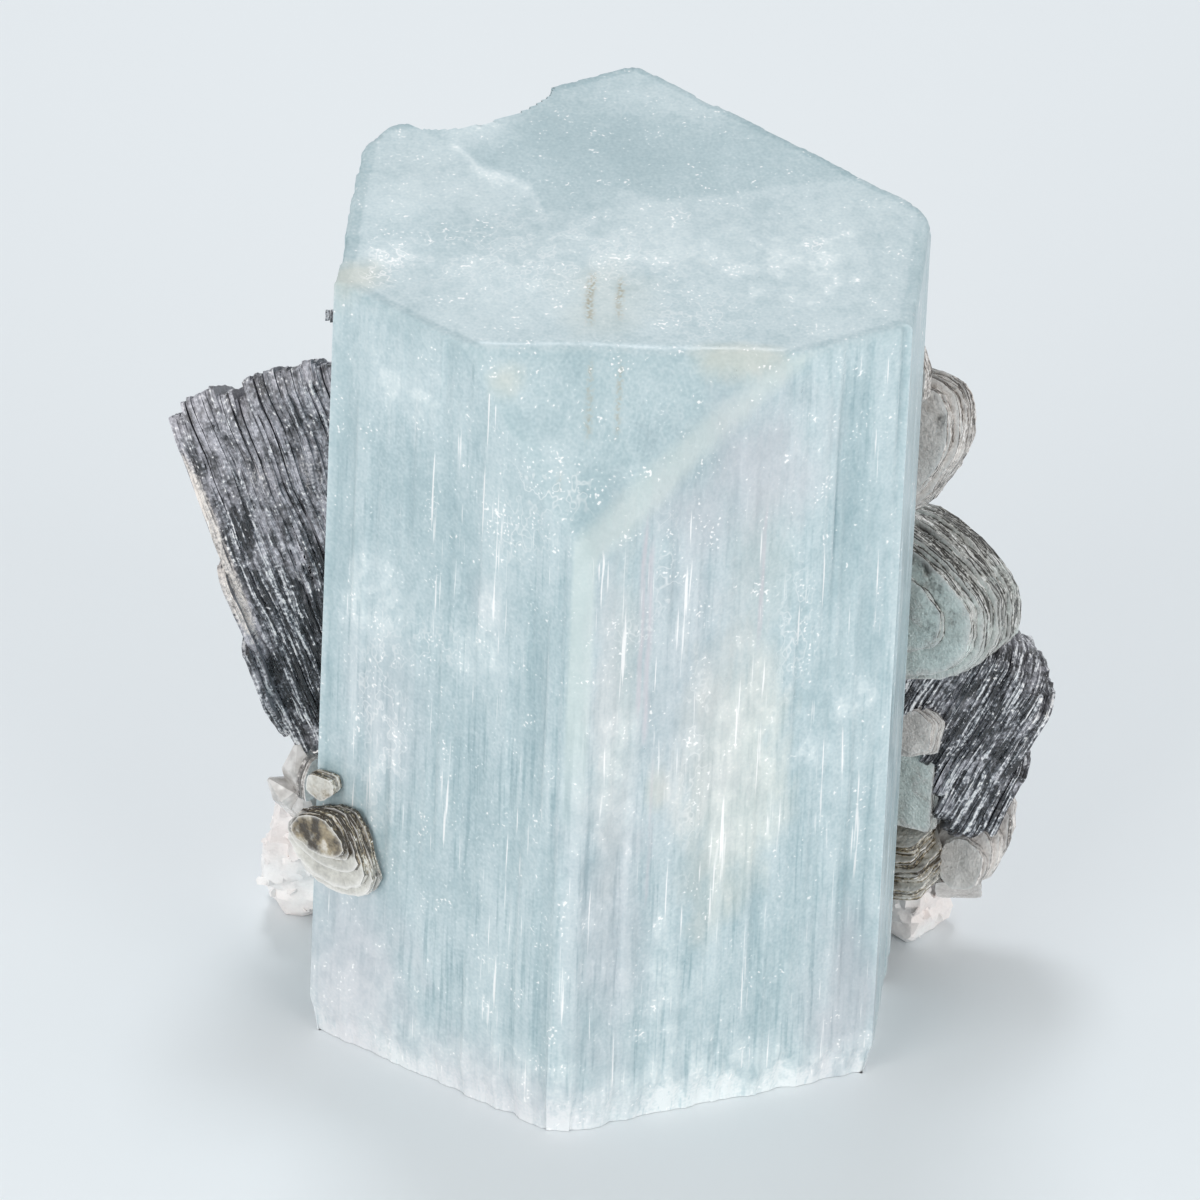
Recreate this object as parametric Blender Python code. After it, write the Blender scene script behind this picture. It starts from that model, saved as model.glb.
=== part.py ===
"""Aquamarine crystal specimen: one stout beryl prism standing on its broken foot, with books of
muscovite mica down both sides and white albite at its back.

Lengths are in millimetres until a mesh is made. +Z is up, the crystal's showy edge faces -Y, and the
origin is the point where the crystal's long axis meets the flat it stands on.
"""

import math
import random

import bmesh
import bpy
from mathutils import Euler, Matrix, Vector, noise

MM = 0.001
GAP = 0.3  # left between two neighbouring minerals

# The beryl prism: how far each face stands from the long axis, in the order front right, right, back
# right, back left, left, front left.
FACE_DISTANCES = (18.2, 23.4, 17.4, 19.4, 22.1, 18.7)
FIRST_FACE_ANGLE = -65.1  # degrees from +X; the next face is 60 degrees further round
AXIS_HEIGHT = 71.3
TOP_RISE_TO_BACK = 9.75  # degrees, the slope of the top face
TOP_RISE_TO_RIGHT = 0.4
FRONT_EDGE_BEVEL = 1.9
CORNER_FACET = (12.1, 17.8, 13.6)  # along the left rim, the right rim and down the front edge
FACET_BAND = 2.9  # the milky bevel between the corner facet and the front right face
CORNER_CHIPS = {2: (1.5, 1.6, 2.0), 3: (1.2, 1.4, 1.5), 4: (3.4, 2.9, 7.0)}  # corner: same three lengths
STRIA_WIDTH = (0.8, 2.6)
STRIA_DEPTH = 0.28
FOOT_HEIGHT = (0.8, 3.2)  # the rough rim above the flat
FOOT_INSET = (0.25, 1.1)
NOTCH_PLACE = 0.42  # along the back left rim, from the left corner
NOTCH_SIZE = (6.2, 2.6, 7.5)  # half length along the rim, depth into the crystal, half height

# Albite blocks: (degrees round the axis, distance from it, height of the middle), then how far the
# block reaches outwards, round and up.
ALBITE_BLOCKS = (
    ((152.0, 26.4, 4.8), (6.6, 7.6, 10.4)),
    ((159.0, 24.8, 9.4), (2.6, 3.6, 5.0)),
    ((146.0, 23.8, 6.0), (8.0, 8.0, 11.0)),
    ((139.0, 24.0, 13.5), (8.0, 6.5, 13.0)),
    ((131.0, 25.5, 5.5), (13.0, 11.5, 12.5)),
    ((126.0, 24.0, 18.0), (9.0, 7.5, 11.0)),
    ((120.0, 26.5, 12.0), (11.0, 8.0, 9.0)),
    ((114.0, 24.0, 21.0), (10.0, 8.5, 14.0)),
    ((112.0, 26.0, 5.0), (14.0, 9.5, 11.5)),
    ((105.0, 27.5, 13.5), (11.5, 7.0, 8.5)),
    ((101.0, 23.5, 25.5), (8.5, 7.0, 12.0)),
    ((98.0, 24.0, 17.5), (12.0, 9.5, 12.0)),
    ((93.0, 27.0, 5.5), (15.0, 12.5, 13.0)),
    ((87.0, 23.0, 22.0), (10.0, 7.5, 15.0)),
    ((84.0, 26.0, 14.0), (10.5, 6.5, 8.0)),
    ((78.0, 25.5, 6.5), (12.5, 8.5, 14.5)),
    ((74.0, 22.5, 17.5), (10.5, 9.5, 13.0)),
    ((69.0, 22.5, 24.5), (7.5, 6.0, 9.0)),
    ((65.0, 25.5, 12.0), (11.5, 7.5, 10.0)),
    ((61.0, 25.0, 4.5), (14.5, 11.5, 10.5)),
    ((55.0, 22.5, 15.5), (10.5, 9.0, 14.0)),
    ((50.0, 25.5, 10.5), (10.0, 6.5, 8.0)),
    ((45.0, 25.5, 5.0), (12.5, 10.5, 11.5)),
    ((40.0, 23.5, 11.5), (10.0, 8.0, 12.5)),
    ((33.5, 27.5, 4.6), (9.0, 7.5, 10.5)),
    ((27.0, 28.4, 3.4), (5.4, 5.6, 7.4)),
)
ALBITE_TURN = (22.0, 22.0, 34.0)  # most degrees that a block is turned about X, Y and Z
ALBITE_CHIP = (0.10, 0.30)  # how much of a block's half size a broken corner takes

CRYSTAL_BLUE = (0.47, 0.66, 0.70, 1.0)
MICA_GREY = (0.16, 0.16, 0.17, 1.0)
MICA_BROWN = (0.23, 0.19, 0.14, 1.0)
MICA_SILVER = (0.48, 0.45, 0.42, 1.0)
MICA_GREEN = (0.38, 0.45, 0.42, 1.0)
ALBITE_WHITE = (0.84, 0.82, 0.80, 1.0)
QUARTZ_GREY = (0.60, 0.59, 0.57, 1.0)


def clear_scene():
    for obj in list(bpy.data.objects):
        bpy.data.objects.remove(obj, do_unlink=True)


def make_material(name, colour, roughness, metallic=0.0):
    material = bpy.data.materials.new(name)
    material.use_nodes = True
    shader = material.node_tree.nodes["Principled BSDF"]
    shader.inputs["Base Color"].default_value = colour
    shader.inputs["Roughness"].default_value = roughness
    shader.inputs["Metallic"].default_value = metallic
    return material


def object_from(bm, name, material):
    """Turns the bmesh into a named object of outward triangles, scaled from millimetres to metres."""
    bmesh.ops.triangulate(bm, faces=bm.faces)
    bmesh.ops.recalc_face_normals(bm, faces=bm.faces)
    if bm.calc_volume(signed=True) < 0.0:
        bmesh.ops.reverse_faces(bm, faces=bm.faces)
    bmesh.ops.scale(bm, vec=(MM, MM, MM), verts=bm.verts)
    mesh = bpy.data.meshes.new(name)
    bm.to_mesh(mesh)
    bm.free()
    obj = bpy.data.objects.new(name, mesh)
    bpy.context.scene.collection.objects.link(obj)
    if material:
        mesh.materials.append(material)
    return obj


def loose_parts(bm):
    """The bmesh's faces, grouped by the body they belong to."""
    waiting = set(bm.faces)
    while waiting:
        found = [waiting.pop()]
        for face in found:
            for edge in face.edges:
                for other in edge.link_faces:
                    if other in waiting:
                        waiting.remove(other)
                        found.append(other)
        yield found


def drop_crumbs(mesh):
    """Keeps only the largest body of a mesh that a cut has split."""
    bm = bmesh.new()
    bm.from_mesh(mesh)
    bodies = sorted(loose_parts(bm), key=lambda faces: sum(face.calc_area() for face in faces))
    for faces in bodies[:-1]:
        bmesh.ops.delete(bm, geom=faces, context="FACES")
    bm.to_mesh(mesh)
    bm.free()


def combine(obj, others, operation):
    """Joins the other objects to this one or cuts them out of it, then removes them."""
    for other in others:
        modifier = obj.modifiers.new(other.name, "BOOLEAN")
        modifier.operation = operation
        modifier.solver = "EXACT"
        modifier.object = other
    bpy.context.view_layer.update()
    evaluated = obj.evaluated_get(bpy.context.evaluated_depsgraph_get())
    result = bpy.data.meshes.new_from_object(evaluated)
    result.name = obj.name
    obj.modifiers.clear()
    obj.data = result
    for other in others:
        bpy.data.objects.remove(other, do_unlink=True)
    drop_crumbs(result)


# --- the beryl prism ----------------------------------------------------------------------------


def face_normal(index):
    angle = math.radians(FIRST_FACE_ANGLE + 60.0 * index)
    return Vector((math.cos(angle), math.sin(angle), 0.0))


def plan_corner(index, grow=0.0):
    """Where face index - 1 meets face index, seen from above; corner 0 is the front edge."""
    before, after = face_normal(index - 1), face_normal(index)
    far_before = FACE_DISTANCES[index - 1] + grow
    far_after = FACE_DISTANCES[index % 6] + grow
    turn = before.x * after.y - before.y * after.x
    x = (far_before * after.y - far_after * before.y) / turn
    y = (far_after * before.x - far_before * after.x) / turn
    return Vector((x, y, 0.0))


def top_normal():
    slope_x = math.tan(math.radians(TOP_RISE_TO_RIGHT))
    slope_y = math.tan(math.radians(TOP_RISE_TO_BACK))
    return Vector((-slope_x, -slope_y, 1.0)).normalized()


def top_point(plan):
    """The point of the top face above a point of the plan."""
    normal = top_normal()
    height = AXIS_HEIGHT - (normal.x * plan.x + normal.y * plan.y) / normal.z
    return Vector((plan.x, plan.y, height))


def striated_side(start, end, inward, rng):
    """Points along one prism face, stepping in and out where the growth striae run."""
    along = (end - start).normalized()
    length = (end - start).length
    points = [start.copy()]
    place = rng.uniform(*STRIA_WIDTH)
    while place < length - STRIA_WIDTH[0]:
        depth = STRIA_DEPTH * rng.random() ** 1.5
        width = min(rng.uniform(*STRIA_WIDTH), length - 0.4 - place)
        points.append(start + along * place + inward * depth)
        points.append(start + along * (place + width - 0.15) + inward * depth)
        place += width
    return points


def striated_plan():
    rng = random.Random(11)
    points = []
    for index in range(6):
        points += striated_side(plan_corner(index), plan_corner(index + 1), -face_normal(index), rng)
    return points


def foot_ring(points, inset, level):
    """One ring of the rough foot: the plan drawn in and moved up by amounts that wander."""
    ring = []
    for point in points:
        wander = 0.5 + 0.5 * noise.noise(point * 0.55 + Vector((0.0, 0.0, level[0])))
        height = level[0] + (level[1] - level[0]) * wander
        drawn_in = inset[0] + (inset[1] - inset[0]) * wander
        ring.append(point - point.normalized() * drawn_in + Vector((0.0, 0.0, height)))
    return ring


def bridge_rings(bm, rings):
    """Walls between the rings, with a flat face on the first and on the last."""
    loops = [[bm.verts.new(point) for point in ring] for ring in rings]
    for lower, upper in zip(loops, loops[1:]):
        for index in range(len(lower)):
            after = (index + 1) % len(lower)
            bm.faces.new((lower[index], lower[after], upper[after], upper[index]))
    bm.faces.new(list(reversed(loops[0])))
    bm.faces.new(loops[-1])


def slice_off(bm, point, normal):
    """Cuts away what lies beyond a plane and closes the cut with one flat face."""
    everything = bm.verts[:] + bm.edges[:] + bm.faces[:]
    cut = bmesh.ops.bisect_plane(bm, geom=everything, plane_co=point, plane_no=normal, clear_outer=True)
    rim = [part for part in cut["geom_cut"] if isinstance(part, bmesh.types.BMEdge)]
    bmesh.ops.contextual_create(bm, geom=rim)


def corner_plane(index, lengths):
    """The plane that takes a top corner off, from how far it reaches along the three edges there."""
    corner = top_point(plan_corner(index))
    before = (top_point(plan_corner(index - 1)) - corner).normalized()
    after = (top_point(plan_corner(index + 1)) - corner).normalized()
    first = corner + before * lengths[0]
    second = corner + after * lengths[1]
    third = corner - Vector((0.0, 0.0, lengths[2]))
    normal = (second - first).cross(third - first).normalized()
    return first, normal if normal.dot(corner - first) > 0.0 else -normal


def bevel_plane(point, first_normal, second_normal, width):
    """The plane that bevels the edge between two flat faces to this width; point is on the edge."""
    middle = (first_normal + second_normal).normalized()
    half_angle = first_normal.angle(second_normal) / 2.0
    return point - middle * (width / 2.0 * math.tan(half_angle)), middle


def crystal_body():
    plan = striated_plan()
    too_high = Vector((0.0, 0.0, AXIS_HEIGHT * 1.2))
    rings = [
        foot_ring(plan, (FOOT_INSET[1], FOOT_INSET[0]), (0.0, 0.0)),
        foot_ring(plan, (0.0, FOOT_INSET[0]), FOOT_HEIGHT),
        [point + too_high for point in plan],
    ]
    bm = bmesh.new()
    bridge_rings(bm, rings)
    slice_off(bm, top_point(Vector()), top_normal())
    facet_point, facet_normal = corner_plane(0, CORNER_FACET)
    slice_off(bm, facet_point, facet_normal)
    front_left, front_right = face_normal(5), face_normal(0)
    slice_off(bm, *bevel_plane(plan_corner(0), front_left, front_right, FRONT_EDGE_BEVEL))
    band_edge = top_point(plan_corner(0)) - Vector((0.0, 0.0, CORNER_FACET[2]))
    slice_off(bm, *bevel_plane(band_edge, facet_normal, front_right, FACET_BAND))
    for index, lengths in CORNER_CHIPS.items():
        slice_off(bm, *corner_plane(index, lengths))
    return bm


def notch_cutter():
    """A lumpy scoop over the back left rim, where the crystal is chipped."""
    rim_start, rim_end = top_point(plan_corner(4)), top_point(plan_corner(3))
    along = (rim_end - rim_start).normalized()
    inward = -face_normal(3)
    reach = (along * NOTCH_SIZE[0], inward * NOTCH_SIZE[1], Vector((0.0, 0.0, NOTCH_SIZE[2])))
    place = Matrix(reach).transposed()
    bm = bmesh.new()
    bmesh.ops.create_icosphere(bm, subdivisions=2, radius=1.0)
    for vert in bm.verts:
        lump = 1.0 + 0.16 * noise.noise(vert.co * 2.3)
        vert.co = place @ (vert.co * lump) + rim_start.lerp(rim_end, NOTCH_PLACE)
    return object_from(bm, "notch_cutter", None)


def clearance_prism():
    """A plain prism that stands the gap's width outside the crystal, to cut its neighbours with."""
    ring = [plan_corner(index, GAP) for index in range(6)]
    bm = bmesh.new()
    bridge_rings(bm, [[point + Vector((0, 0, height)) for point in ring] for height in (-2.0, 90.0)])
    return object_from(bm, "clearance_prism", None)


# --- muscovite ----------------------------------------------------------------------------------


def ragged_outline(corners, per_side, ragged, rng):
    """The leaf's polygon with each side cut into shorter ones that are nudged in or out."""
    middle = sum((Vector(corner) for corner in corners), Vector((0.0, 0.0))) / len(corners)
    points = []
    for index, corner in enumerate(corners):
        start, end = Vector(corner), Vector(corners[(index + 1) % len(corners)])
        for step in range(per_side):
            point = start.lerp(end, step / per_side)
            outward = (point - middle).normalized()
            points.append(point + outward * rng.uniform(-ragged, ragged))
    return points


def grown(points, amount):
    """The outline moved out by this amount, square to its sides."""
    area = sum(points[index - 1].cross(point) for index, point in enumerate(points))
    turn = math.copysign(1.0, area)
    moved = []
    for index, point in enumerate(points):
        before = (point - points[index - 1]).normalized()
        after = (points[(index + 1) % len(points)] - point).normalized()
        side = (before + after).normalized()
        outward = Vector((side.y, -side.x)) * turn
        moved.append(point + outward * (amount / max(0.5, side.dot(after))))
    return moved


def leaf_stack(book, grow=0.0):
    """A book of mica as one solid: each leaf gives two rings, and a narrow ledge joins it to the next.

    The book's frame has its first axis along the leaves, its second across them and its third
    through the stack. A leaf is (where it starts in the stack, its polygon's corners).
    """
    rng = random.Random(book["seed"])
    along = Vector(book["along"]).normalized()
    through = Vector(book["through"])
    through = (through - along * through.dot(along)).normalized()
    across = through.cross(along)
    origin = Vector(book["origin"])
    bm = bmesh.new()
    rings = []
    leaves = book["leaves"]
    for index, (start, corners) in enumerate(leaves):
        end = leaves[index + 1][0] if index + 1 < len(leaves) else book["end"]
        outline = ragged_outline(corners, book.get("per_side", 3), book.get("ragged", 0.3), rng)
        outline = grown(outline, grow)
        first = start - grow if index == 0 else start + book.get("ledge", 0.04)
        last = end + grow if index + 1 == len(leaves) else end - book.get("ledge", 0.04)
        for level in (first, last):
            rings.append([origin + along * p.x + across * p.y + through * level for p in outline])
    bridge_rings(bm, rings)
    return bm


def hexagon(half_length, half_width, centre=(0.0, 0.0), rooted=0.0):
    """A mica leaf's six-sided outline, longer by "rooted" on the side that grows from the crystal."""
    x, y = centre
    side = half_length * 0.55
    return [
        (x + half_length, y - rooted * 0.4),
        (x + side, y + half_width),
        (x - side, y + half_width),
        (x - half_length, y - rooted * 0.4),
        (x - side, y - half_width - rooted),
        (x + side, y - half_width - rooted),
    ]


# Leaves that are blunt to the right and rooted behind the crystal to the left.
BARREL_LEAF = (
    (6.7, -1.6),
    (5.0, 2.4),
    (1.8, 6.2),
    (-2.2, 6.5),
    (-5.0, 4.2),
    (-6.8, -1.0),
    (-5.6, -7.6),
    (5.4, -8.4),
)
KITE_LEAF = (
    (5.4, 0.4),
    (4.8, 2.8),
    (3.2, 3.7),
    (0.4, 4.0),
    (-1.6, 3.4),
    (-4.9, 1.5),
    (-6.5, -0.4),
    (-5.4, -7.4),
    (4.2, -7.6),
)


def scaled(outline, size):
    return [(along * size, across * size) for along, across in outline]


def tapering_leaf(foot, tip, front, back):
    """A long leaf of the left book: narrow at the foot, its tip sloping down to the back."""
    middle = foot + (tip - foot) * 0.42
    return [
        (foot, -back * 0.45),
        (foot - 0.6, front * 0.3),
        (middle, front * 0.85),
        (tip - 1.8, front),
        (tip - 0.2, front * 0.8),
        (tip - 3.4, -back * 0.2),
        (tip - 8.5, -back),
        (middle, -back * 0.9),
    ]


def square_leaf(foot, tip, front, back):
    """A leaf of the dark book on the right: broken straight across at both ends."""
    return [
        (foot + 0.5, -back * 0.8),
        (foot, front * 0.6),
        (foot + 1.2, front),
        (tip - 1.0, front * 0.9),
        (tip, front * 0.2),
        (tip - 1.5, -back),
    ]


# Each leaf: where it starts in the stack, its foot and its tip along the book.
LEFT_LEAVES = (
    (-1.2, 2.0, 12.5),
    (-0.6, 0.8, 20.0),
    (0.0, 0.0, 34.4),
    (1.4, -0.2, 35.6),
    (2.7, 0.2, 35.8),
    (4.1, 0.4, 35.2),
    (5.4, 0.8, 34.4),
    (6.4, 1.0, 36.0),
    (7.9, 1.4, 36.2),
    (9.3, 1.8, 35.8),
    (10.8, 2.0, 35.9),
    (12.4, 2.2, 35.4),
)
RIGHT_LOWER_LEAVES = (
    (-13.6, 9.5, 17.6),
    (-11.4, 8.5, 18.4),
    (-9.2, 8.0, 17.8),
    (-6.8, 6.5, 17.4),
    (-4.9, 4.4, 17.2),
    (-3.0, 2.0, 17.1),
    (-1.5, 0.2, 16.8),
    (0.0, -0.6, 16.0),
    (1.2, 0.0, 14.2),
    (2.4, 1.2, 8.0),
)

BOOKS = {
    "muscovite_book_left": {
        "seed": 3,
        "origin": (-24.0, 9.0, 18.0),
        "along": (-0.342, 0.0, 0.940),
        "through": (0.940, 0.0, 0.342),
        "leaves": [(start, tapering_leaf(foot, tip, 5.4, 6.2)) for start, foot, tip in LEFT_LEAVES],
        "end": 14.0,
        "ragged": 0.45,
    },
    "muscovite_book_right_lower": {
        "seed": 8,
        "origin": (28.0, 11.0, 12.4),
        "along": (0.407, 0.0, 0.914),
        "through": (0.914, 0.0, -0.407),
        "leaves": [(start, square_leaf(foot, tip, 3.6, 5.0)) for start, foot, tip in RIGHT_LOWER_LEAVES],
        "end": 3.5,
        "ragged": 0.35,
    },
    "muscovite_book_right_middle": {
        "seed": 5,
        "origin": (23.7, 6.2, 33.9),
        "along": (0.06, 0.16, 0.985),
        "through": (0.45, 0.87, -0.15),
        "leaves": [
            (0.0, scaled(BARREL_LEAF, 0.5)),
            (0.5, scaled(BARREL_LEAF, 0.86)),
            (1.4, scaled(BARREL_LEAF, 0.96)),
            (2.4, scaled(BARREL_LEAF, 0.92)),
            (3.5, scaled(BARREL_LEAF, 1.02)),
            (4.8, scaled(BARREL_LEAF, 0.97)),
            (6.0, scaled(BARREL_LEAF, 1.0)),
        ],
        "end": 7.8,
        "ragged": 0.25,
    },
    "muscovite_book_right_upper": {
        "seed": 21,
        "origin": (23.2, 7.2, 49.6),
        "along": (0.05, 0.33, 0.94),
        "through": (0.42, 0.80, -0.38),
        "leaves": [
            (0.0, scaled(KITE_LEAF, 0.84)),
            (0.9, scaled(KITE_LEAF, 0.97)),
            (2.0, scaled(KITE_LEAF, 1.0)),
            (3.2, scaled(KITE_LEAF, 0.92)),
        ],
        "end": 4.6,
        "ragged": 0.3,
    },
    "muscovite_leaf_right": {
        "seed": 2,
        "origin": (21.2, 7.1, 57.0),
        "along": (0.10, -0.07, 0.99),
        "through": (0.566, 0.825, 0.0),
        "leaves": [(-0.3, [(3.4, 1.9), (0.6, 3.6), (-2.0, 3.9), (-3.2, 2.2), (-2.8, -1.5), (1.2, -1.2)])],
        "end": 0.6,
        "per_side": 2,
        "ragged": 0.12,
    },
    "muscovite_flake_right": {
        "seed": 9,
        "origin": (24.7, 6.5, 22.7),
        "along": (0.1, 0.3, 0.95),
        "through": (0.35, 0.86, -0.36),
        "leaves": [(0.0, hexagon(1.8, 1.6)), (0.5, hexagon(2.4, 2.1, (0.0, 0.0), 2.5))],
        "end": 1.3,
        "per_side": 2,
        "ragged": 0.18,
    },
    "muscovite_plate_right": {
        "seed": 6,
        "origin": (24.8, 8.2, 16.2),
        "along": (0.06, 0.1, 0.99),
        "through": (0.30, 0.95, -0.10),
        "leaves": [
            (0.0, [(3.6, 1.7), (-3.5, 2.0), (-3.5, -6.4), (3.6, -6.4)]),
            (1.0, [(3.8, 2.0), (-3.7, 2.3), (-3.6, -6.8), (3.7, -6.8)]),
        ],
        "end": 3.2,
        "ragged": 0.1,
    },
    "muscovite_steps_right": {
        "seed": 4,
        "origin": (25.2, 9.4, 7.9),
        "along": (0.96, -0.25, 0.12),
        "through": (-0.08, -0.28, 0.95),
        "leaves": [
            (0.0, hexagon(3.4, 3.6, (-0.4, 0.0))),
            (1.0, hexagon(3.2, 3.2, (-0.2, 0.5))),
            (2.1, hexagon(2.9, 3.0, (-0.5, 0.8))),
            (3.1, hexagon(2.7, 2.6, (-0.4, 1.2))),
        ],
        "end": 4.1,
        "per_side": 2,
        "ragged": 0.2,
    },
    "muscovite_rosette_right": {
        "seed": 12,
        "origin": (29.0, 7.9, 9.6),
        "along": (0.25, 0.35, 0.90),
        "through": (0.40, 0.80, -0.42),
        "leaves": [
            (0.0, hexagon(2.3, 2.0, (0.0, 0.2))),
            (0.7, hexagon(2.9, 2.6, (0.6, -0.2))),
            (1.5, hexagon(3.5, 3.1, (1.3, -0.5), 1.0)),
            (2.4, hexagon(4.3, 3.3, (2.4, -0.7), 2.0)),
            (3.3, hexagon(4.7, 3.1, (3.2, -0.8), 2.5)),
        ],
        "end": 4.4,
        "ragged": 0.2,
    },
    "muscovite_tab_right": {
        "seed": 7,
        "origin": (29.3, 10.6, 5.0),
        "along": (1.0, 0.0, 0.02),
        "through": (0.05, 0.80, 0.60),
        "leaves": [(0.0, [(1.9, 0.9), (-1.8, 1.0), (-2.0, -2.4), (1.7, -2.2)])],
        "end": 1.1,
        "per_side": 2,
        "ragged": 0.1,
    },
    "muscovite_rosette_front": {
        "seed": 14,
        "origin": (-20.6, -9.0, 19.3),
        "along": (0.0, 0.0, 1.0),
        "through": (-0.575, -0.818, 0.0),
        "leaves": [
            (-0.15, [(4.3, -1.8), (3.2, 2.6), (-0.6, 4.7), (-4.2, 1.9), (-3.4, -1.2), (-0.8, -4.4)]),
            (0.9, [(4.4, -1.6), (3.2, 2.8), (-0.2, 4.6), (-3.2, 1.8), (-2.6, -1.4), (-0.6, -4.2)]),
            (1.5, [(4.3, -1.0), (3.1, 3.0), (0.6, 4.3), (-1.2, 1.6), (-1.1, -1.8), (0.4, -3.6)]),
            (2.1, [(4.1, -0.4), (3.2, 2.8), (1.4, 3.5), (0.4, 1.3), (0.6, -1.6), (1.5, -2.6)]),
        ],
        "end": 2.8,
        "ragged": 0.25,
    },
    "muscovite_flake_front": {
        "seed": 15,
        "origin": (-22.0, -7.9, 24.1),
        "along": (0.02, 0.0, 1.0),
        "through": (-0.575, -0.818, 0.0),
        "leaves": [(-0.1, [(1.3, -1.1), (1.0, 1.2), (-0.6, 1.4), (-1.1, -0.2), (0.2, -1.5)])],
        "end": 0.9,
        "per_side": 2,
        "ragged": 0.1,
    },
    "muscovite_blade_left": {
        "seed": 16,
        "origin": (-23.9, 2.6, 17.6),
        "along": (0.03, 0.0, 1.0),
        "through": (-0.8, 0.6, 0.0),
        "leaves": [(0.0, [(2.0, 0.3), (0.4, -0.4), (-1.9, 0.0), (-1.5, 3.9), (1.4, 3.9)])],
        "end": 0.6,
        "per_side": 2,
        "ragged": 0.08,
    },
    "muscovite_grain_left": {
        "seed": 17,
        "origin": (-22.2, 0.4, 62.6),
        "along": (0.0, 0.0, 1.0),
        "through": (-1.0, 0.0, 0.0),
        "leaves": [(0.0, hexagon(0.8, 1.0)), (1.1, hexagon(0.6, 0.8))],
        "end": 1.6,
        "per_side": 1,
        "ragged": 0.08,
    },
    "muscovite_book_back": {
        "seed": 18,
        "origin": (5.0, 30.0, 23.5),
        "along": (0.25, 0.30, 0.92),
        "through": (0.35, 0.85, -0.36),
        "leaves": [
            (-2.0, hexagon(4.6, 4.8)),
            (0.2, hexagon(5.2, 5.4, (0.3, 0.2))),
            (1.5, hexagon(4.9, 5.0, (0.1, -0.2))),
            (2.6, hexagon(4.0, 4.2, (-0.3, 0.1))),
        ],
        "end": 3.6,
        "ragged": 0.3,
    },
}

BOOK_COLOURS = {
    "muscovite_book_left": MICA_GREY,
    "muscovite_book_right_lower": MICA_GREY,
    "muscovite_grain_left": MICA_GREY,
    "muscovite_book_right_middle": MICA_GREEN,
    "muscovite_plate_right": MICA_GREEN,
    "muscovite_steps_right": MICA_BROWN,
    "muscovite_rosette_front": MICA_BROWN,
    "muscovite_flake_front": MICA_BROWN,
}


# --- albite and quartz --------------------------------------------------------------------------


def chipped_block(rng):
    """A unit cleavage block of albite with four of its corners broken off."""
    bm = bmesh.new()
    bmesh.ops.create_cube(bm, size=1.0)
    corners = [Vector((x, y, z)) for x in (-0.5, 0.5) for y in (-0.5, 0.5) for z in (-0.5, 0.5)]
    for corner in rng.sample(corners, 4):
        lean = Vector([value * rng.uniform(0.5, 1.0) for value in corner]).normalized()
        slice_off(bm, corner - lean * rng.uniform(*ALBITE_CHIP), lean)
    return bm


def albite_block_object(index, place, size):
    rng = random.Random(100 + index)
    angle = math.radians(place[0])
    centre = Vector((math.cos(angle) * place[1], math.sin(angle) * place[1], place[2]))
    turns = [math.radians(rng.uniform(-most, most)) for most in ALBITE_TURN]
    turn = Euler((turns[0], turns[1], turns[2] + angle)).to_quaternion()
    bm = chipped_block(rng)
    bmesh.ops.transform(bm, matrix=Matrix.LocRotScale(centre, turn, Vector(size)), verts=bm.verts)
    return object_from(bm, f"albite_block_{index}", None)


def floor_cutter():
    """A slab whose top is the flat that the specimen stands on."""
    slab = Matrix.LocRotScale(Vector((0.0, 0.0, -20.0)), None, Vector((160.0, 160.0, 40.0)))
    bm = bmesh.new()
    bmesh.ops.create_cube(bm, size=1.0, matrix=slab)
    return object_from(bm, "floor_cutter", None)


QUARTZ_TURN = 12.0  # degrees that each quartz prism is turned about its own axis
QUARTZ_SHOULDER = (0.62, 0.92)  # where the point starts, and how wide the prism is there
QUARTZ_TIP = 0.18  # the blunt tip's width

# Quartz crystals: the middle of the foot, height, radius and how many degrees each leans about X and Y.
QUARTZ_POINTS = (
    ((-23.6, 8.4, 12.2), 6.4, 1.6, (4.0, -12.0)),
    ((-23.6, 8.2, 11.6), 4.6, 1.4, (10.0, -44.0)),
    ((-23.4, 7.6, 10.6), 4.8, 1.2, (26.0, -8.0)),
)


def quartz_point(place, height, radius, lean, grow):
    """A small six-sided quartz crystal with a blunt point."""
    turn = Matrix.Rotation(math.radians(lean[0]), 3, "X") @ Matrix.Rotation(math.radians(lean[1]), 3, "Y")
    shoulder = (height * QUARTZ_SHOULDER[0], radius * QUARTZ_SHOULDER[1])
    rings = []
    for level, size in ((-grow, radius), shoulder, (height + grow, radius * QUARTZ_TIP)):
        ring = []
        for index in range(6):
            angle = math.radians(60.0 * index + QUARTZ_TURN)
            corner = Vector((math.cos(angle) * (size + grow), math.sin(angle) * (size + grow), level))
            ring.append(turn @ corner + Vector(place))
        rings.append(ring)
    bm = bmesh.new()
    bridge_rings(bm, rings)
    return bm


def quartz_cluster(name, grow):
    points = []
    for index, spec in enumerate(QUARTZ_POINTS):
        points.append(object_from(quartz_point(*spec, grow), f"{name}_{index}", None))
    cluster = points[0]
    cluster.name = name
    combine(cluster, points[1:], "UNION")
    combine(cluster, [clearance_prism()], "DIFFERENCE")
    return cluster


# --- the whole specimen -------------------------------------------------------------------------


def book_room(name):
    """A solid that stands the gap's width outside a book, to cut its neighbours with."""
    return object_from(leaf_stack(BOOKS[name], GAP), f"{name}_room", None)


def make_books():
    """Each book is cut by the crystal and by the books made before it."""
    made = []
    for name, book in BOOKS.items():
        colour = BOOK_COLOURS.get(name, MICA_SILVER)
        material = make_material(f"{name}_mica", colour, 0.32)
        body = object_from(leaf_stack(book), name, material)
        combine(body, [clearance_prism()] + [book_room(other) for other in made], "DIFFERENCE")
        made.append(name)


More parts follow.
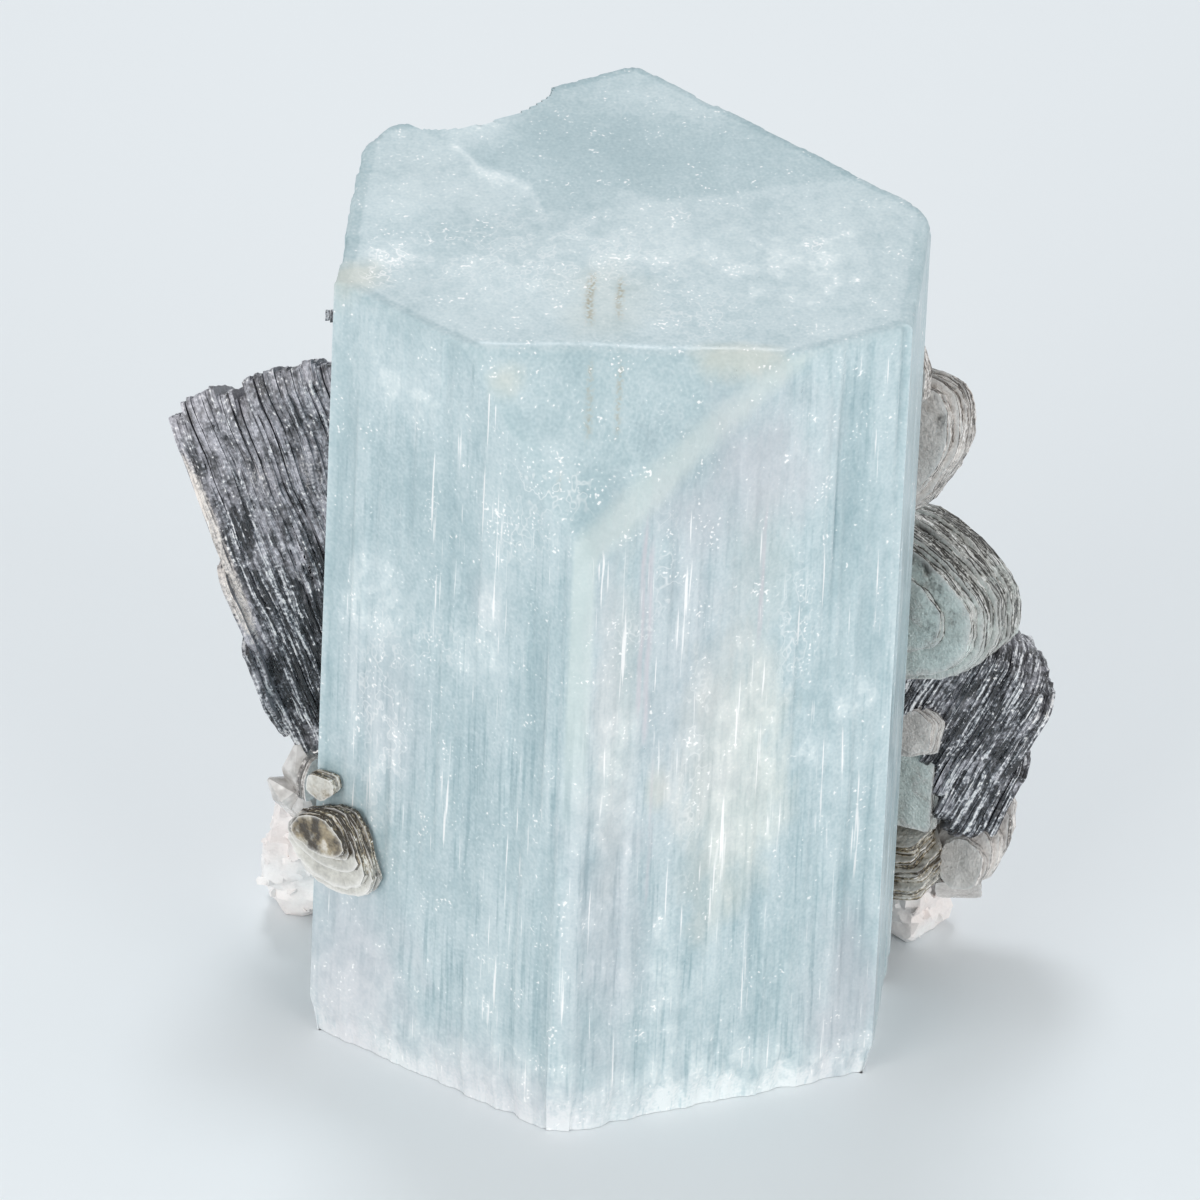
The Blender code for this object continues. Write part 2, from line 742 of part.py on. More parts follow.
def make_quartz():
    quartz = quartz_cluster("quartz_crystals_left", 0.0)
    combine(quartz, [book_room(name) for name in BOOKS], "DIFFERENCE")
    quartz.data.materials.append(make_material("quartz", QUARTZ_GREY, 0.15))


def make_albite():
    blocks = [albite_block_object(index, *spec) for index, spec in enumerate(ALBITE_BLOCKS)]
    matrix = blocks[0]
    matrix.name = "albite_matrix"
    combine(matrix, blocks[1:], "UNION")
    rooms = [book_room(name) for name in BOOKS] + [quartz_cluster("quartz_room", GAP)]
    combine(matrix, [clearance_prism(), floor_cutter()] + rooms, "DIFFERENCE")
    matrix.data.materials.append(make_material("albite", ALBITE_WHITE, 0.6))


def main():
    clear_scene()
    aquamarine = make_material("aquamarine", CRYSTAL_BLUE, 0.12)
    crystal = object_from(crystal_body(), "aquamarine_crystal", aquamarine)
    combine(crystal, [notch_cutter()], "DIFFERENCE")
    make_books()
    make_quartz()
    make_albite()


main()
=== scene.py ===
# %% [markdown]
# # An aquamarine crystal on its matrix
# The real piece is one stout prism of beryl, coloured pale blue by a trace of iron, that grew in a
# pocket of coarse granite. Books of muscovite mica grew down both its sides and white albite closes
# round its foot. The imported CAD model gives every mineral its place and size. Here each one gets the
# surface that the solid can't carry: growth lines, thin leaves, sugary grain and the milky inside.

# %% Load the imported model
import math

import bmesh
import bpy
import numpy as np
from mathutils import Euler, Matrix, Vector, noise


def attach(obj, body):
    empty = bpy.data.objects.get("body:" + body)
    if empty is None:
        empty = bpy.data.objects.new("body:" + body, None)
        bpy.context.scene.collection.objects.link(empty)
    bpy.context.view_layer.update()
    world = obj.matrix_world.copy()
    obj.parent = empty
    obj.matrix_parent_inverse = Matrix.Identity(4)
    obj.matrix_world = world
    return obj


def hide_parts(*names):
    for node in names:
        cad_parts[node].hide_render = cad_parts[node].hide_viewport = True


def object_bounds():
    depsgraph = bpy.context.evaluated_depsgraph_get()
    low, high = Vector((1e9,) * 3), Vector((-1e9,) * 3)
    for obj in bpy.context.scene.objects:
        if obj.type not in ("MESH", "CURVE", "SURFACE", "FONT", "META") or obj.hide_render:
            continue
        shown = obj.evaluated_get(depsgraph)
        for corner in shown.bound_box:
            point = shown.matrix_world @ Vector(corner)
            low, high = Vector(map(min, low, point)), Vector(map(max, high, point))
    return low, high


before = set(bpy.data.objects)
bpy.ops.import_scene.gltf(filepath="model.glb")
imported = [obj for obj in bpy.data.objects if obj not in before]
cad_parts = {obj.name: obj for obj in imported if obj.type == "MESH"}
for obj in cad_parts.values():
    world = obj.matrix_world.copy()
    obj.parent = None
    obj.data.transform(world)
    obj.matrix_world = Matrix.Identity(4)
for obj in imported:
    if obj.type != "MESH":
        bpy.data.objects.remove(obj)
cad_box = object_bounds()
MM = 0.001
print("minerals:", ", ".join(sorted(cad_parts)))
print("size in mm:", [round((high - low) / MM, 1) for low, high in zip(*cad_box)])

# %% [markdown]
# ## Helpers
# A colour is easiest to pick as the hex value that a screen shows, but a shader wants linear light,
# so one function converts it. Shader graphs and Geometry Nodes trees are both made of nodes, and one
# function adds a node of any kind, sets its options and plugs its inputs. Most patterns here are a sum
# of layers, such as clouds plus a little grain, so one function makes that sum.


# %% Colour and node helpers
MATH = "ShaderNodeMath"
VECTOR_MATH = "ShaderNodeVectorMath"
NOISE = "ShaderNodeTexNoise"
RAMP = "ShaderNodeValToRGB"
RANGE = "ShaderNodeMapRange"
BUMP = "ShaderNodeBump"
MIX = "ShaderNodeMix"
MIX_SHARE, MIX_FIRST, MIX_SECOND, MIX_COLOUR = 0, 6, 7, 2  # the sockets of a Mix node that mixes colours


def linear(hex_colour):
    """A screen colour such as "#9FC3C8" as the linear red, green, blue and alpha that shaders use."""
    channels = [int(hex_colour[place : place + 2], 16) / 255.0 for place in (1, 3, 5)]
    return tuple(c / 12.92 if c <= 0.04045 else ((c + 0.055) / 1.055) ** 2.4 for c in channels) + (1.0,)


def plug(tree, node, inputs):
    """Sets a node's inputs. Each is a value, a socket to link from, or a node whose first output is linked."""
    for name, value in inputs.items():
        if isinstance(value, bpy.types.Node):
            value = value.outputs[0]
        if isinstance(value, bpy.types.NodeSocket):
            tree.links.new(value, node.inputs[name])
        else:
            node.inputs[name].default_value = value


def add_node(tree, kind, inputs=None, **settings):
    """Adds a node of any kind with its settings and its inputs."""
    node = tree.nodes.new(kind)
    for name, value in settings.items():
        setattr(node, name, value)
    plug(tree, node, inputs or {})
    return node


def summed(tree, total, layers, clamp=False):
    """The total plus each layer times its share. With clamp, the whole sum is kept between 0 and 1."""
    for number, (layer, share) in enumerate(layers, 1):
        last = number == len(layers)
        inputs = {0: layer, 1: share, 2: total}
        total = add_node(tree, MATH, inputs, operation="MULTIPLY_ADD", use_clamp=clamp and last)
    return total


def pattern(tree, place, size, detail, roughness):
    """Noise with features of this size in mm along x, y and z, centred on zero."""
    inverse = tuple(1.0 / length for length in size)
    spot = add_node(tree, VECTOR_MATH, {0: place, 1: inverse}, operation="MULTIPLY")
    noisy = add_node(tree, NOISE, {"Vector": spot, "Scale": 1.0, "Detail": detail, "Roughness": roughness})
    return add_node(tree, MATH, {0: noisy, 1: 0.5}, operation="SUBTRACT")


def object_mm(tree):
    """Object coordinates in mm."""
    place = add_node(tree, "ShaderNodeTexCoord").outputs["Object"]
    return add_node(tree, VECTOR_MATH, {0: place, "Scale": 1.0 / MM}, operation="SCALE")


def set_ramp(ramp, stops):
    """Gives a colour ramp these stops, each a position and a screen colour."""
    elements = ramp.color_ramp.elements
    first, *others, last = stops
    for element, (position, colour) in zip(elements, (first, last)):
        element.position = position
        element.color = linear(colour)
    for position, colour in others:
        elements.new(position).color = linear(colour)


def new_material(name):
    """A material with its Principled shader, ready for its pattern."""
    material = bpy.data.materials.new(name)
    material.use_nodes = True
    tree = material.node_tree
    return material, tree, tree.nodes["Principled BSDF"]


def new_tree(name, wanted):
    """A Geometry Nodes tree with these inputs, and the sockets that they come in by."""
    tree = bpy.data.node_groups.new(name, "GeometryNodeTree")
    for label, kind in {"Geometry": "Geometry", **wanted, "Material": "Material"}.items():
        tree.interface.new_socket(label, in_out="INPUT", socket_type="NodeSocket" + kind)
    tree.interface.new_socket("Geometry", in_out="OUTPUT", socket_type="NodeSocketGeometry")
    return tree, add_node(tree, "NodeGroupInput").outputs


print("a mid grey in linear light:", [round(c, 3) for c in linear("#808080")])

# %% [markdown]
# ## Camera, light and floor
# Mineral portraits are shot with a long lens from well back, so the prism's edges stay parallel. Three
# soft boxes light it, one from behind over the top and one at each side of the camera, and the white
# walls all round open the shadows. The floor is a plain pale card. Blender's Standard view keeps the
# pale colours as they are picked.

# %% Camera
CAMERA_RISE = math.radians(31.445)
CAMERA_ROLL = math.radians(2.589)
CAMERA_DISTANCE = 1.231
CAMERA_TARGET = Vector((0.0, 0.0, 0.038))
CAMERA_OFFSET = (-0.000902, -0.000202)  # slides the view right and up, so the target sits off centre
LENS = 463.9

looking = Vector((0.0, math.cos(CAMERA_RISE), -math.sin(CAMERA_RISE)))
level_right = Vector((1.0, 0.0, 0.0))
level_up = level_right.cross(looking)
right = level_right * math.cos(CAMERA_ROLL) + level_up * math.sin(CAMERA_ROLL)
up = level_up * math.cos(CAMERA_ROLL) - level_right * math.sin(CAMERA_ROLL)
place = CAMERA_TARGET - looking * CAMERA_DISTANCE + right * CAMERA_OFFSET[0] + up * CAMERA_OFFSET[1]

camera = bpy.data.objects.new("camera", bpy.data.cameras.new("camera"))
camera.data.lens = LENS
camera.data.sensor_width = 36.0
camera.data.clip_start = 0.01
camera.matrix_world = Matrix((right, up, -looking)).transposed().to_4x4()
camera.matrix_world.translation = place
bpy.context.scene.collection.objects.link(camera)
bpy.context.scene.camera = camera
bpy.context.scene.view_settings.view_transform = "Standard"
print("camera stands", round(place.length, 3), "m from the foot of the crystal")


# %% Light and floor
def soft_box(name, place, size, power, colour="#FFFFFF"):
    """A square lamp that faces the middle of the specimen."""
    lamp = bpy.data.lights.new(name, "AREA")
    lamp.size = size
    lamp.energy = power
    lamp.color = linear(colour)[:3]
    holder = bpy.data.objects.new(name, lamp)
    holder.location = place
    holder.rotation_euler = (CAMERA_TARGET - Vector(place)).to_track_quat("-Z", "Y").to_euler()
    bpy.context.scene.collection.objects.link(holder)


soft_box("top_box", (-0.08, 0.32, 0.78), 0.20, 1.6, "#F8FBFF")
soft_box("left_box", (-0.50, -0.65, 0.25), 0.50, 2.8, "#FFFDFA")
soft_box("front_box", (0.62, -0.68, 0.18), 0.60, 3.9, "#FFFEFC")

studio = bpy.data.worlds.new("white_studio")
studio.use_nodes = True
walls = studio.node_tree
plug(walls, walls.nodes["Background"], {"Color": linear("#F6F7F8"), "Strength": 0.66})
bpy.context.scene.world = studio

FLOOR_REACH = 3.0
FLOOR_GAP = 0.05 * MM
card, tree, shader = new_material("pale card, matt")
plug(tree, shader, {"Base Color": linear("#E9EEF1"), "Roughness": 0.9, "Specular IOR Level": 0.1})
floor_mesh = bpy.data.meshes.new("floor")
floor_corners = [(x * FLOOR_REACH, y * FLOOR_REACH, 0.0) for x, y in ((-1, -1), (1, -1), (1, 1), (-1, 1))]
floor_mesh.from_pydata(floor_corners, [], [(0, 1, 2, 3)])
floor_mesh.materials.append(card)
floor = bpy.data.objects.new("floor", floor_mesh)
floor.location.z = cad_box[0].z - FLOOR_GAP
bpy.context.scene.collection.objects.link(floor)

# %% [markdown]
# ## The beryl prism's surface
# A beryl crystal is six flat faces at 120 degrees, and what makes it look grown and not cut is the
# relief on them: fine upright striae that start and stop, a worn rim, a wavy bevel and a broken foot.
# A grid suits that better than sculpting, because the striae all run straight up. Each column of the
# grid is one place on the outline, pushed in by a stack of random striae, and the top is a height map:
# the lowest of the top plane, the corner facet, the bevel band, the chips and the notch.

# %% The prism's faces
FACE_ANGLES = [math.radians(-65.1 + 60.0 * index) for index in range(6)]
FACE_NORMALS = np.array([(math.cos(angle), math.sin(angle)) for angle in FACE_ANGLES])
beryl_points = np.array([vert.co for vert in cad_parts["aquamarine_crystal"].data.vertices]) / MM
FACE_DISTANCES = (beryl_points[:, :2] @ FACE_NORMALS.T).max(axis=0)  # the solid's reach along each normal

AXIS_HEIGHT = 71.3
TOP_SLOPE = (math.tan(math.radians(0.4)), math.tan(math.radians(9.75)))  # rise per mm to the right and back
FRONT_BEVEL = 1.9  # width of the bevel down the front edge
CORNER_FACET = (12.1, 17.8, 13.6)  # along the left rim, the right rim and down the front edge
FACET_BAND = 2.9  # width of the bevel between the facet and the right front face
CORNER_CHIPS = {2: (1.5, 1.6, 2.0), 3: (1.2, 1.4, 1.5), 4: (2.2, 2.0, 5.0)}
NOTCH_PLACE = 0.42  # along the rim from corner 4 to corner 3
NOTCH_SIZE = (6.2, 2.6, 7.5)  # half its length, its depth from the rim and its drop


def plan_corner(index):
    """Where face index - 1 meets face index, seen from above, in mm. Corner 0 is the front edge."""
    pair = [(index - 1) % 6, index % 6]
    return np.linalg.solve(FACE_NORMALS[pair], FACE_DISTANCES[pair])


def top_point(plan):
    height = AXIS_HEIGHT + TOP_SLOPE[0] * plan[0] + TOP_SLOPE[1] * plan[1]
    return Vector((plan[0], plan[1], height))


def corner_plane(index, lengths):
    """The plane that takes a top corner off, from how far it reaches along the three edges there."""
    corner = top_point(plan_corner(index))
    before = (top_point(plan_corner(index - 1)) - corner).normalized() * lengths[0]
    after = (top_point(plan_corner(index + 1)) - corner).normalized() * lengths[1]
    down = Vector((0.0, 0.0, -lengths[2]))
    normal = (after - before).cross(down - before).normalized()
    return corner + before, normal if normal.z > 0.0 else -normal


print("faces stand", [round(float(d), 1) for d in FACE_DISTANCES], "mm from the axis")

# %% The top's height map
# How uneven each surface is: by how many mm, over features how many mm wide, and a seed.
TOP_WAVE = (0.10, 9.0, 1.0)
FACET_WAVE = (0.55, 7.0, 2.0)
BAND_WAVE = (0.9, 5.5, 3.0)
CHIP_WAVE = (0.35, 1.4)
NOTCH_WAVE = (0.10, 1.6, 7.0)
# Over how many mm two surfaces blend, then over how many each one's look fades in.
FACET_CREASE, BAND_CREASE, NOTCH_CREASE = 1.6, 0.5, 0.8
FACET_FADE, BAND_FADE, NOTCH_FADE = 1.2, 0.8, 0.6
CHIP_CREASE = 0.25  # of how far the chip drops


def wander(x, y, width, seed):
    """Smooth noise in the plan, from -1 to 1, over features this many mm wide."""
    points = zip(np.ravel(x) / width, np.ravel(y) / width)
    return np.array([noise.noise((a, b, seed)) for a, b in points]).reshape(np.shape(x))


def uneven(x, y, most, width, seed):
    return most * wander(x, y, width, seed)


def shows(higher, lower, fade):
    """1 where the lower surface is the one that shows and 0 where the higher is, as the look goes."""
    return np.clip((higher - lower) / fade + 0.5, 0.0, 1.0)


def plane_height(point, normal, x, y):
    return point.z - (normal.x * (x - point.x) + normal.y * (y - point.y)) / normal.z


def lower_of(first, second, rounding):
    """The lower of two heights, with the crease between them rounded."""
    overlap = np.clip(rounding - np.abs(first - second), 0.0, None) / rounding
    return np.minimum(first, second) - overlap**2 * rounding / 4.0


def notch_height(x, y):
    """The scoop broken out of the back left rim."""
    start, end = top_point(plan_corner(4)), top_point(plan_corner(3))
    middle = start.lerp(end, NOTCH_PLACE)
    along = (end - start).normalized()
    inward = -FACE_NORMALS[3]
    a = ((x - middle.x) * along.x + (y - middle.y) * along.y) / NOTCH_SIZE[0]
    b = ((x - middle.x) * inward[0] + (y - middle.y) * inward[1]) / NOTCH_SIZE[1]
    depth = np.sqrt(np.clip(1.0 + uneven(x, y, *NOTCH_WAVE) - a**2 - b**2, 0.0, None))
    return np.where(depth > 0.0, middle.z - NOTCH_SIZE[2] * depth, AXIS_HEIGHT * 2.0)


facet_point, facet_normal = corner_plane(0, CORNER_FACET)
front_right = Vector((*FACE_NORMALS[0], 0.0))
band_normal = (facet_normal + front_right).normalized()
band_drop = FACET_BAND / 2.0 * math.tan(facet_normal.angle(front_right) / 2.0)
band_edge = top_point(plan_corner(0)) - Vector((0.0, 0.0, CORNER_FACET[2]))
band_point = band_edge - band_normal * band_drop


def top_surface(x, y):
    """Height of the top in mm, and how far each of its surfaces shows: facet, band and notch."""
    flat = AXIS_HEIGHT + TOP_SLOPE[0] * x + TOP_SLOPE[1] * y + uneven(x, y, *TOP_WAVE)
    facet = plane_height(facet_point, facet_normal, x, y) + uneven(x, y, *FACET_WAVE)
    band = plane_height(band_point, band_normal, x, y) + uneven(x, y, *BAND_WAVE)
    height = lower_of(flat, facet, FACET_CREASE)
    show_facet = shows(flat, facet, FACET_FADE)
    show_band = shows(height, band, BAND_FADE)
    height = lower_of(height, band, BAND_CREASE)
    for index, lengths in CORNER_CHIPS.items():
        chip = plane_height(*corner_plane(index, lengths), x, y) + uneven(x, y, *CHIP_WAVE, float(index))
        height = lower_of(height, chip, CHIP_CREASE * lengths[2])
    scoop = notch_height(x, y)
    show_notch = shows(height, scoop, NOTCH_FADE)
    return lower_of(height, scoop, NOTCH_CREASE), show_facet, show_band, show_notch


middle_height = top_surface(np.zeros(1), np.zeros(1))[0][0]
print("top over the axis:", round(float(middle_height), 2), "mm")

# %% The outline, one column for each step
BEVEL = 6  # the bevel's face number, after the six faces of the prism
COLUMN_STEP = 0.2
CORNER_ROUND = 0.35
BEVEL_REACH = FRONT_BEVEL / (2.0 * math.sin(math.radians(60.0)))


def outline_columns():
    """Points round the prism, with the inward direction, the face and the place along it of each."""
    front, *others = [plan_corner(index) for index in range(6)]
    bevel_ends = []
    for other in (others[0], others[-1]):
        towards = (other - front) / np.linalg.norm(other - front)
        bevel_ends.append(front + towards * BEVEL_REACH)
    ring = [bevel_ends[0], *others, bevel_ends[1]]
    places, inwards, faces, distances = [], [], [], []
    for face, start in enumerate(ring):
        end = ring[(face + 1) % len(ring)]
        length = np.linalg.norm(end - start)
        along = (end - start) / length
        count = int((length - 2.0 * CORNER_ROUND) / COLUMN_STEP)
        for step in range(count + 1):
            distance = CORNER_ROUND + (length - 2.0 * CORNER_ROUND) * step / count
            places.append(start + along * distance)
            inwards.append(np.array([-along[1], along[0]]))
            faces.append(face)
            distances.append(distance)
        places.append(end + (places[-1] - end) * 0.30)
        inwards.append(-end / np.linalg.norm(end))
        faces.append(face)
        distances.append(length)
    return np.array(places), np.array(inwards), np.array(faces), np.array(distances)


column_place, column_inward, column_face, column_distance = outline_columns()
print(len(column_place), "columns")

# %% Growth striae
FACE_STRIAE = (0.9, 0.8, 1.0, 1.1, 1.0, 0.7, 0.35)  # how strongly each face is striated
# Each layer of striae: least and most width, depth, and stretches up the wall.
STRIA_LAYERS = (((1.2, 4.5), 0.26, 5), ((0.35, 1.3), 0.13, 7), ((0.2, 0.5), 0.05, 9))
STRIA_FADE = 0.5  # mm, where striae die out at an edge of the prism
STRIA_CONTRAST = 2.2  # the higher, the more striae are faint
MOST_STRIAE = 200
WALL_HEIGHT = 76.0


def stria_depth(heights):
    """How far each point of the wall is pushed in. Each stria's depth changes along its length."""
    depth = np.zeros_like(heights)
    for layer, (widths, most, stretches) in enumerate(STRIA_LAYERS):
        rng = np.random.default_rng(40 + layer)
        for face in range(BEVEL + 1):
            columns = np.flatnonzero(column_face == face)
            edges = np.cumsum(rng.uniform(*widths, MOST_STRIAE))
            stria = np.searchsorted(edges, column_distance[columns])
            knots = rng.random((MOST_STRIAE + 1, stretches + 1)) ** STRIA_CONTRAST
            shift = rng.random(MOST_STRIAE + 1)
            for column, number in zip(columns, stria):
                place = heights[column] / WALL_HEIGHT * (stretches - 1.0) + shift[number]
                whole = np.clip(place.astype(int), 0, stretches - 1)
                part = np.clip((place - whole - 0.35) / 0.3, 0.0, 1.0)
                amount = knots[number, whole] * (1.0 - part) + knots[number, whole + 1] * part
                depth[column] += most * amount * FACE_STRIAE[face]
    return depth


def edge_fade():
    fade = np.ones(len(column_place))
    for face in range(BEVEL + 1):
        columns = np.flatnonzero(column_face == face)
        distance = column_distance[columns]
        fade[columns] = np.clip(np.minimum(distance, distance.max() - distance) / STRIA_FADE, 0.0, 1.0)
    return fade


# %% [markdown]
# Where the crystal is milky, clear or stained is part of its growth history, so it is stored on the
# mesh: a patch is an ellipsoid placed on a face, with an edge that wanders. The material reads these
# patches as attributes and adds the grain that is finer than the mesh.

# %% Milky, clear and stained places
PATCH_WANDER = 0.45  # how far a patch's edge strays, as a share of its size
# Where the milky part of the top gives way to the clear part behind it, from left to right, in mm.
TEAL_EDGE = ((-17.0, 12.0), (-13.1, 9.6), (-11.9, 7.9), (-10.3, 7.1), (-7.9, 5.7), (-6.6, 2.6), (-2.3, 2.7))
TEAL_EDGE += ((-0.8, 5.5), (2.4, 4.5), (7.1, 5.4), (12.6, 7.2), (15.7, 7.7), (25.0, 9.0))
TEAL_CLEARER = 0.17
FEATHER = (-14.6, -6.7)  # the white veil in front of that edge, from left to right
FEATHER_DEPTH = 2.6
FEATHER_MILK = 0.34
FOOT_MILK = 0.34
FOOT_MILK_TOP = 7.5  # mm up the wall
PINK_SHARE = 0.6
LINE_SWAY = 0.15  # mm


def on_face(face, x, z):
    """The point of a prism face at this x and z."""
    normal = FACE_NORMALS[face]
    return (x, (FACE_DISTANCES[face] - normal[0] * x) / normal[1], z)


def on_top(x, y):
    return tuple(top_point((x, y)))


FRONT_RIGHT, FRONT_LEFT, TOP = 0, 5, 6
# Each patch: face, its two places there, its half sizes in mm along x, y and z, edge softness, amount.
MILKY = (
    (TOP, -12.9, 13.3, (3.6, 2.6, 4.0), 0.9, 0.30),
    (TOP, -18.1, -3.4, (2.0, 1.6, 4.0), 0.8, 0.22),
    (TOP, 1.2, -1.5, (8.0, 2.6, 4.0), 1.1, 0.14),
    (TOP, 12.5, -2.5, (6.0, 4.0, 4.0), 1.1, 0.16),
    (TOP, -8.0, -5.0, (5.0, 3.0, 4.0), 1.0, 0.08),
    (TOP, 3.5, 17.0, (8.0, 3.0, 4.0), 1.2, 0.12),
    (FRONT_LEFT, -9.5, 47.2, (1.2, 2.0, 2.2), 0.8, 0.30),
    (FRONT_LEFT, -17.0, 63.0, (4.2, 4.0, 2.2), 1.1, 0.22),
    (FRONT_LEFT, -19.0, 42.5, (3.0, 3.0, 5.0), 0.35, 0.15),
    (FRONT_LEFT, -10.5, 41.0, (3.0, 3.0, 2.6), 0.4, 0.12),
    (FRONT_LEFT, -18.7, 5.0, (5.0, 5.0, 5.0), 1.2, 0.26),
    (FRONT_LEFT, -8.0, 3.0, (9.0, 9.0, 3.4), 1.2, 0.20),
    (FRONT_LEFT, -17.6, 29.0, (1.6, 2.0, 4.4), 0.8, 0.20),
    (FRONT_RIGHT, 10.0, 32.0, (4.6, 4.0, 10.5), 0.35, 0.18),
    (FRONT_RIGHT, 1.0, 30.0, (2.4, 3.0, 20.0), 0.9, 0.16),
    (FRONT_RIGHT, 12.4, 60.0, (5.5, 5.0, 5.0), 1.2, 0.16),
    (FRONT_RIGHT, 16.6, 32.3, (1.5, 1.6, 1.7), 0.3, 0.26),
    (FRONT_RIGHT, 19.6, 36.1, (1.9, 1.6, 1.4), 0.3, 0.26),
    (FRONT_RIGHT, 6.6, 12.0, (3.5, 4.0, 12.0), 1.0, 0.12),
    (FRONT_RIGHT, 8.0, 2.6, (12.0, 9.0, 3.0), 1.2, 0.18),
)
CLEAR = (
    (TOP, -1.0, 10.5, (7.0, 5.0, 6.0), 1.0, 0.10),
    (TOP, -14.5, -0.5, (4.0, 2.2, 4.0), 1.1, 0.14),
    (TOP, 1.0, -14.0, (12.0, 2.6, 3.0), 1.1, 0.10),
    (FRONT_LEFT, -16.2, 53.5, (5.2, 5.0, 5.5), 1.0, 0.16),
    (FRONT_LEFT, -12.8, 46.5, (1.9, 2.4, 4.6), 0.8, 0.14),
    (FRONT_LEFT, -4.5, 46.0, (3.0, 3.4, 7.0), 1.1, 0.14),
    (FRONT_LEFT, -11.0, 27.0, (3.4, 3.4, 8.0), 1.1, 0.16),
    (FRONT_RIGHT, 1.6, 63.5, (2.8, 3.0, 3.0), 0.9, 0.30),
    (FRONT_RIGHT, -1.2, 58.6, (2.6, 3.2, 3.4), 0.9, 0.26),
    (FRONT_RIGHT, 1.6, 45.0, (1.6, 2.4, 4.6), 0.7, 0.20),
    (FRONT_RIGHT, 9.0, 60.0, (10.0, 6.0, 9.0), 1.2, 0.16),
    (FRONT_RIGHT, 16.0, 24.0, (2.0, 2.4, 11.0), 0.7, 0.10),
    (FRONT_RIGHT, 15.6, 11.0, (5.0, 4.0, 7.5), 1.0, 0.06),
    (FRONT_RIGHT, 3.3, 20.8, (1.2, 1.6, 6.0), 0.8, 0.26),
    (FRONT_RIGHT, 7.4, 19.5, (1.5, 1.6, 6.0), 0.8, 0.24),
    (FRONT_RIGHT, 3.6, 38.0, (0.9, 1.6, 4.4), 0.7, 0.16),
)
CREAM = (
    (FRONT_RIGHT, 10.2, 32.0, (4.6, 4.0, 13.0), 0.6, 0.60),
    (FRONT_RIGHT, 0.6, 38.0, (1.6, 3.0, 14.0), 0.9, 0.35),
    (FRONT_RIGHT, 4.2, 31.5, (0.9, 2.0, 2.0), 0.9, 0.8),
    (FRONT_LEFT, -9.2, 66.8, (1.6, 2.0, 1.4), 1.0, 0.9),
    (TOP, -21.2, -6.0, (2.2, 1.6, 2.0), 1.0, 0.9),
    (TOP, 9.1, -13.7, (3.0, 1.2, 2.0), 1.0, 0.9),
    (TOP, -1.4, -8.0, (3.4, 4.0, 3.0), 1.0, 0.35),
    (FRONT_RIGHT, 11.6, 50.0, (2.4, 3.0, 6.0), 1.0, 0.25),
)
PINK = (
    (FRONT_RIGHT, 11.1, 59.4, (5.0, 4.0, 5.4), 1.2, 1.0),
    (FRONT_RIGHT, 6.6, 56.0, (3.4, 3.0, 4.4), 1.2, 0.9),
    (FRONT_RIGHT, 0.0, 43.0, (1.5, 3.0, 12.0), 1.1, 0.6),
    (FRONT_RIGHT, 6.2, 42.0, (6.0, 4.0, 15.0), 1.2, 0.55),
    (FRONT_LEFT, -9.5, 47.0, (1.6, 2.0, 2.4), 1.0, 0.3),
    (FRONT_LEFT, -19.5, 6.0, (5.0, 5.0, 9.0), 1.2, 1.0),
    (FRONT_LEFT, -8.0, 1.5, (10.0, 9.0, 3.4), 1.2, 0.8),
    (FRONT_LEFT, -17.5, 33.0, (3.4, 4.0, 6.0), 1.2, 0.5),
    (FRONT_RIGHT, 20.0, 7.0, (3.0, 4.0, 8.0), 1.2, 0.9),
    (FRONT_RIGHT, 1.0, 22.0, (3.0, 4.0, 14.0), 1.2, 0.7),
)
# Upright lines: face, x, from and up to this height, half width, amount.
PINK_LINES = (
    (FRONT_RIGHT, 2.45, 38.0, 57.0, 0.22, 1.0),
    (FRONT_RIGHT, 3.05, 35.5, 55.0, 0.26, 1.0),
    (FRONT_RIGHT, 11.75, 43.0, 56.5, 0.16, 1.0),
    (FRONT_RIGHT, 3.9, 20.0, 36.0, 0.16, 0.6),
)
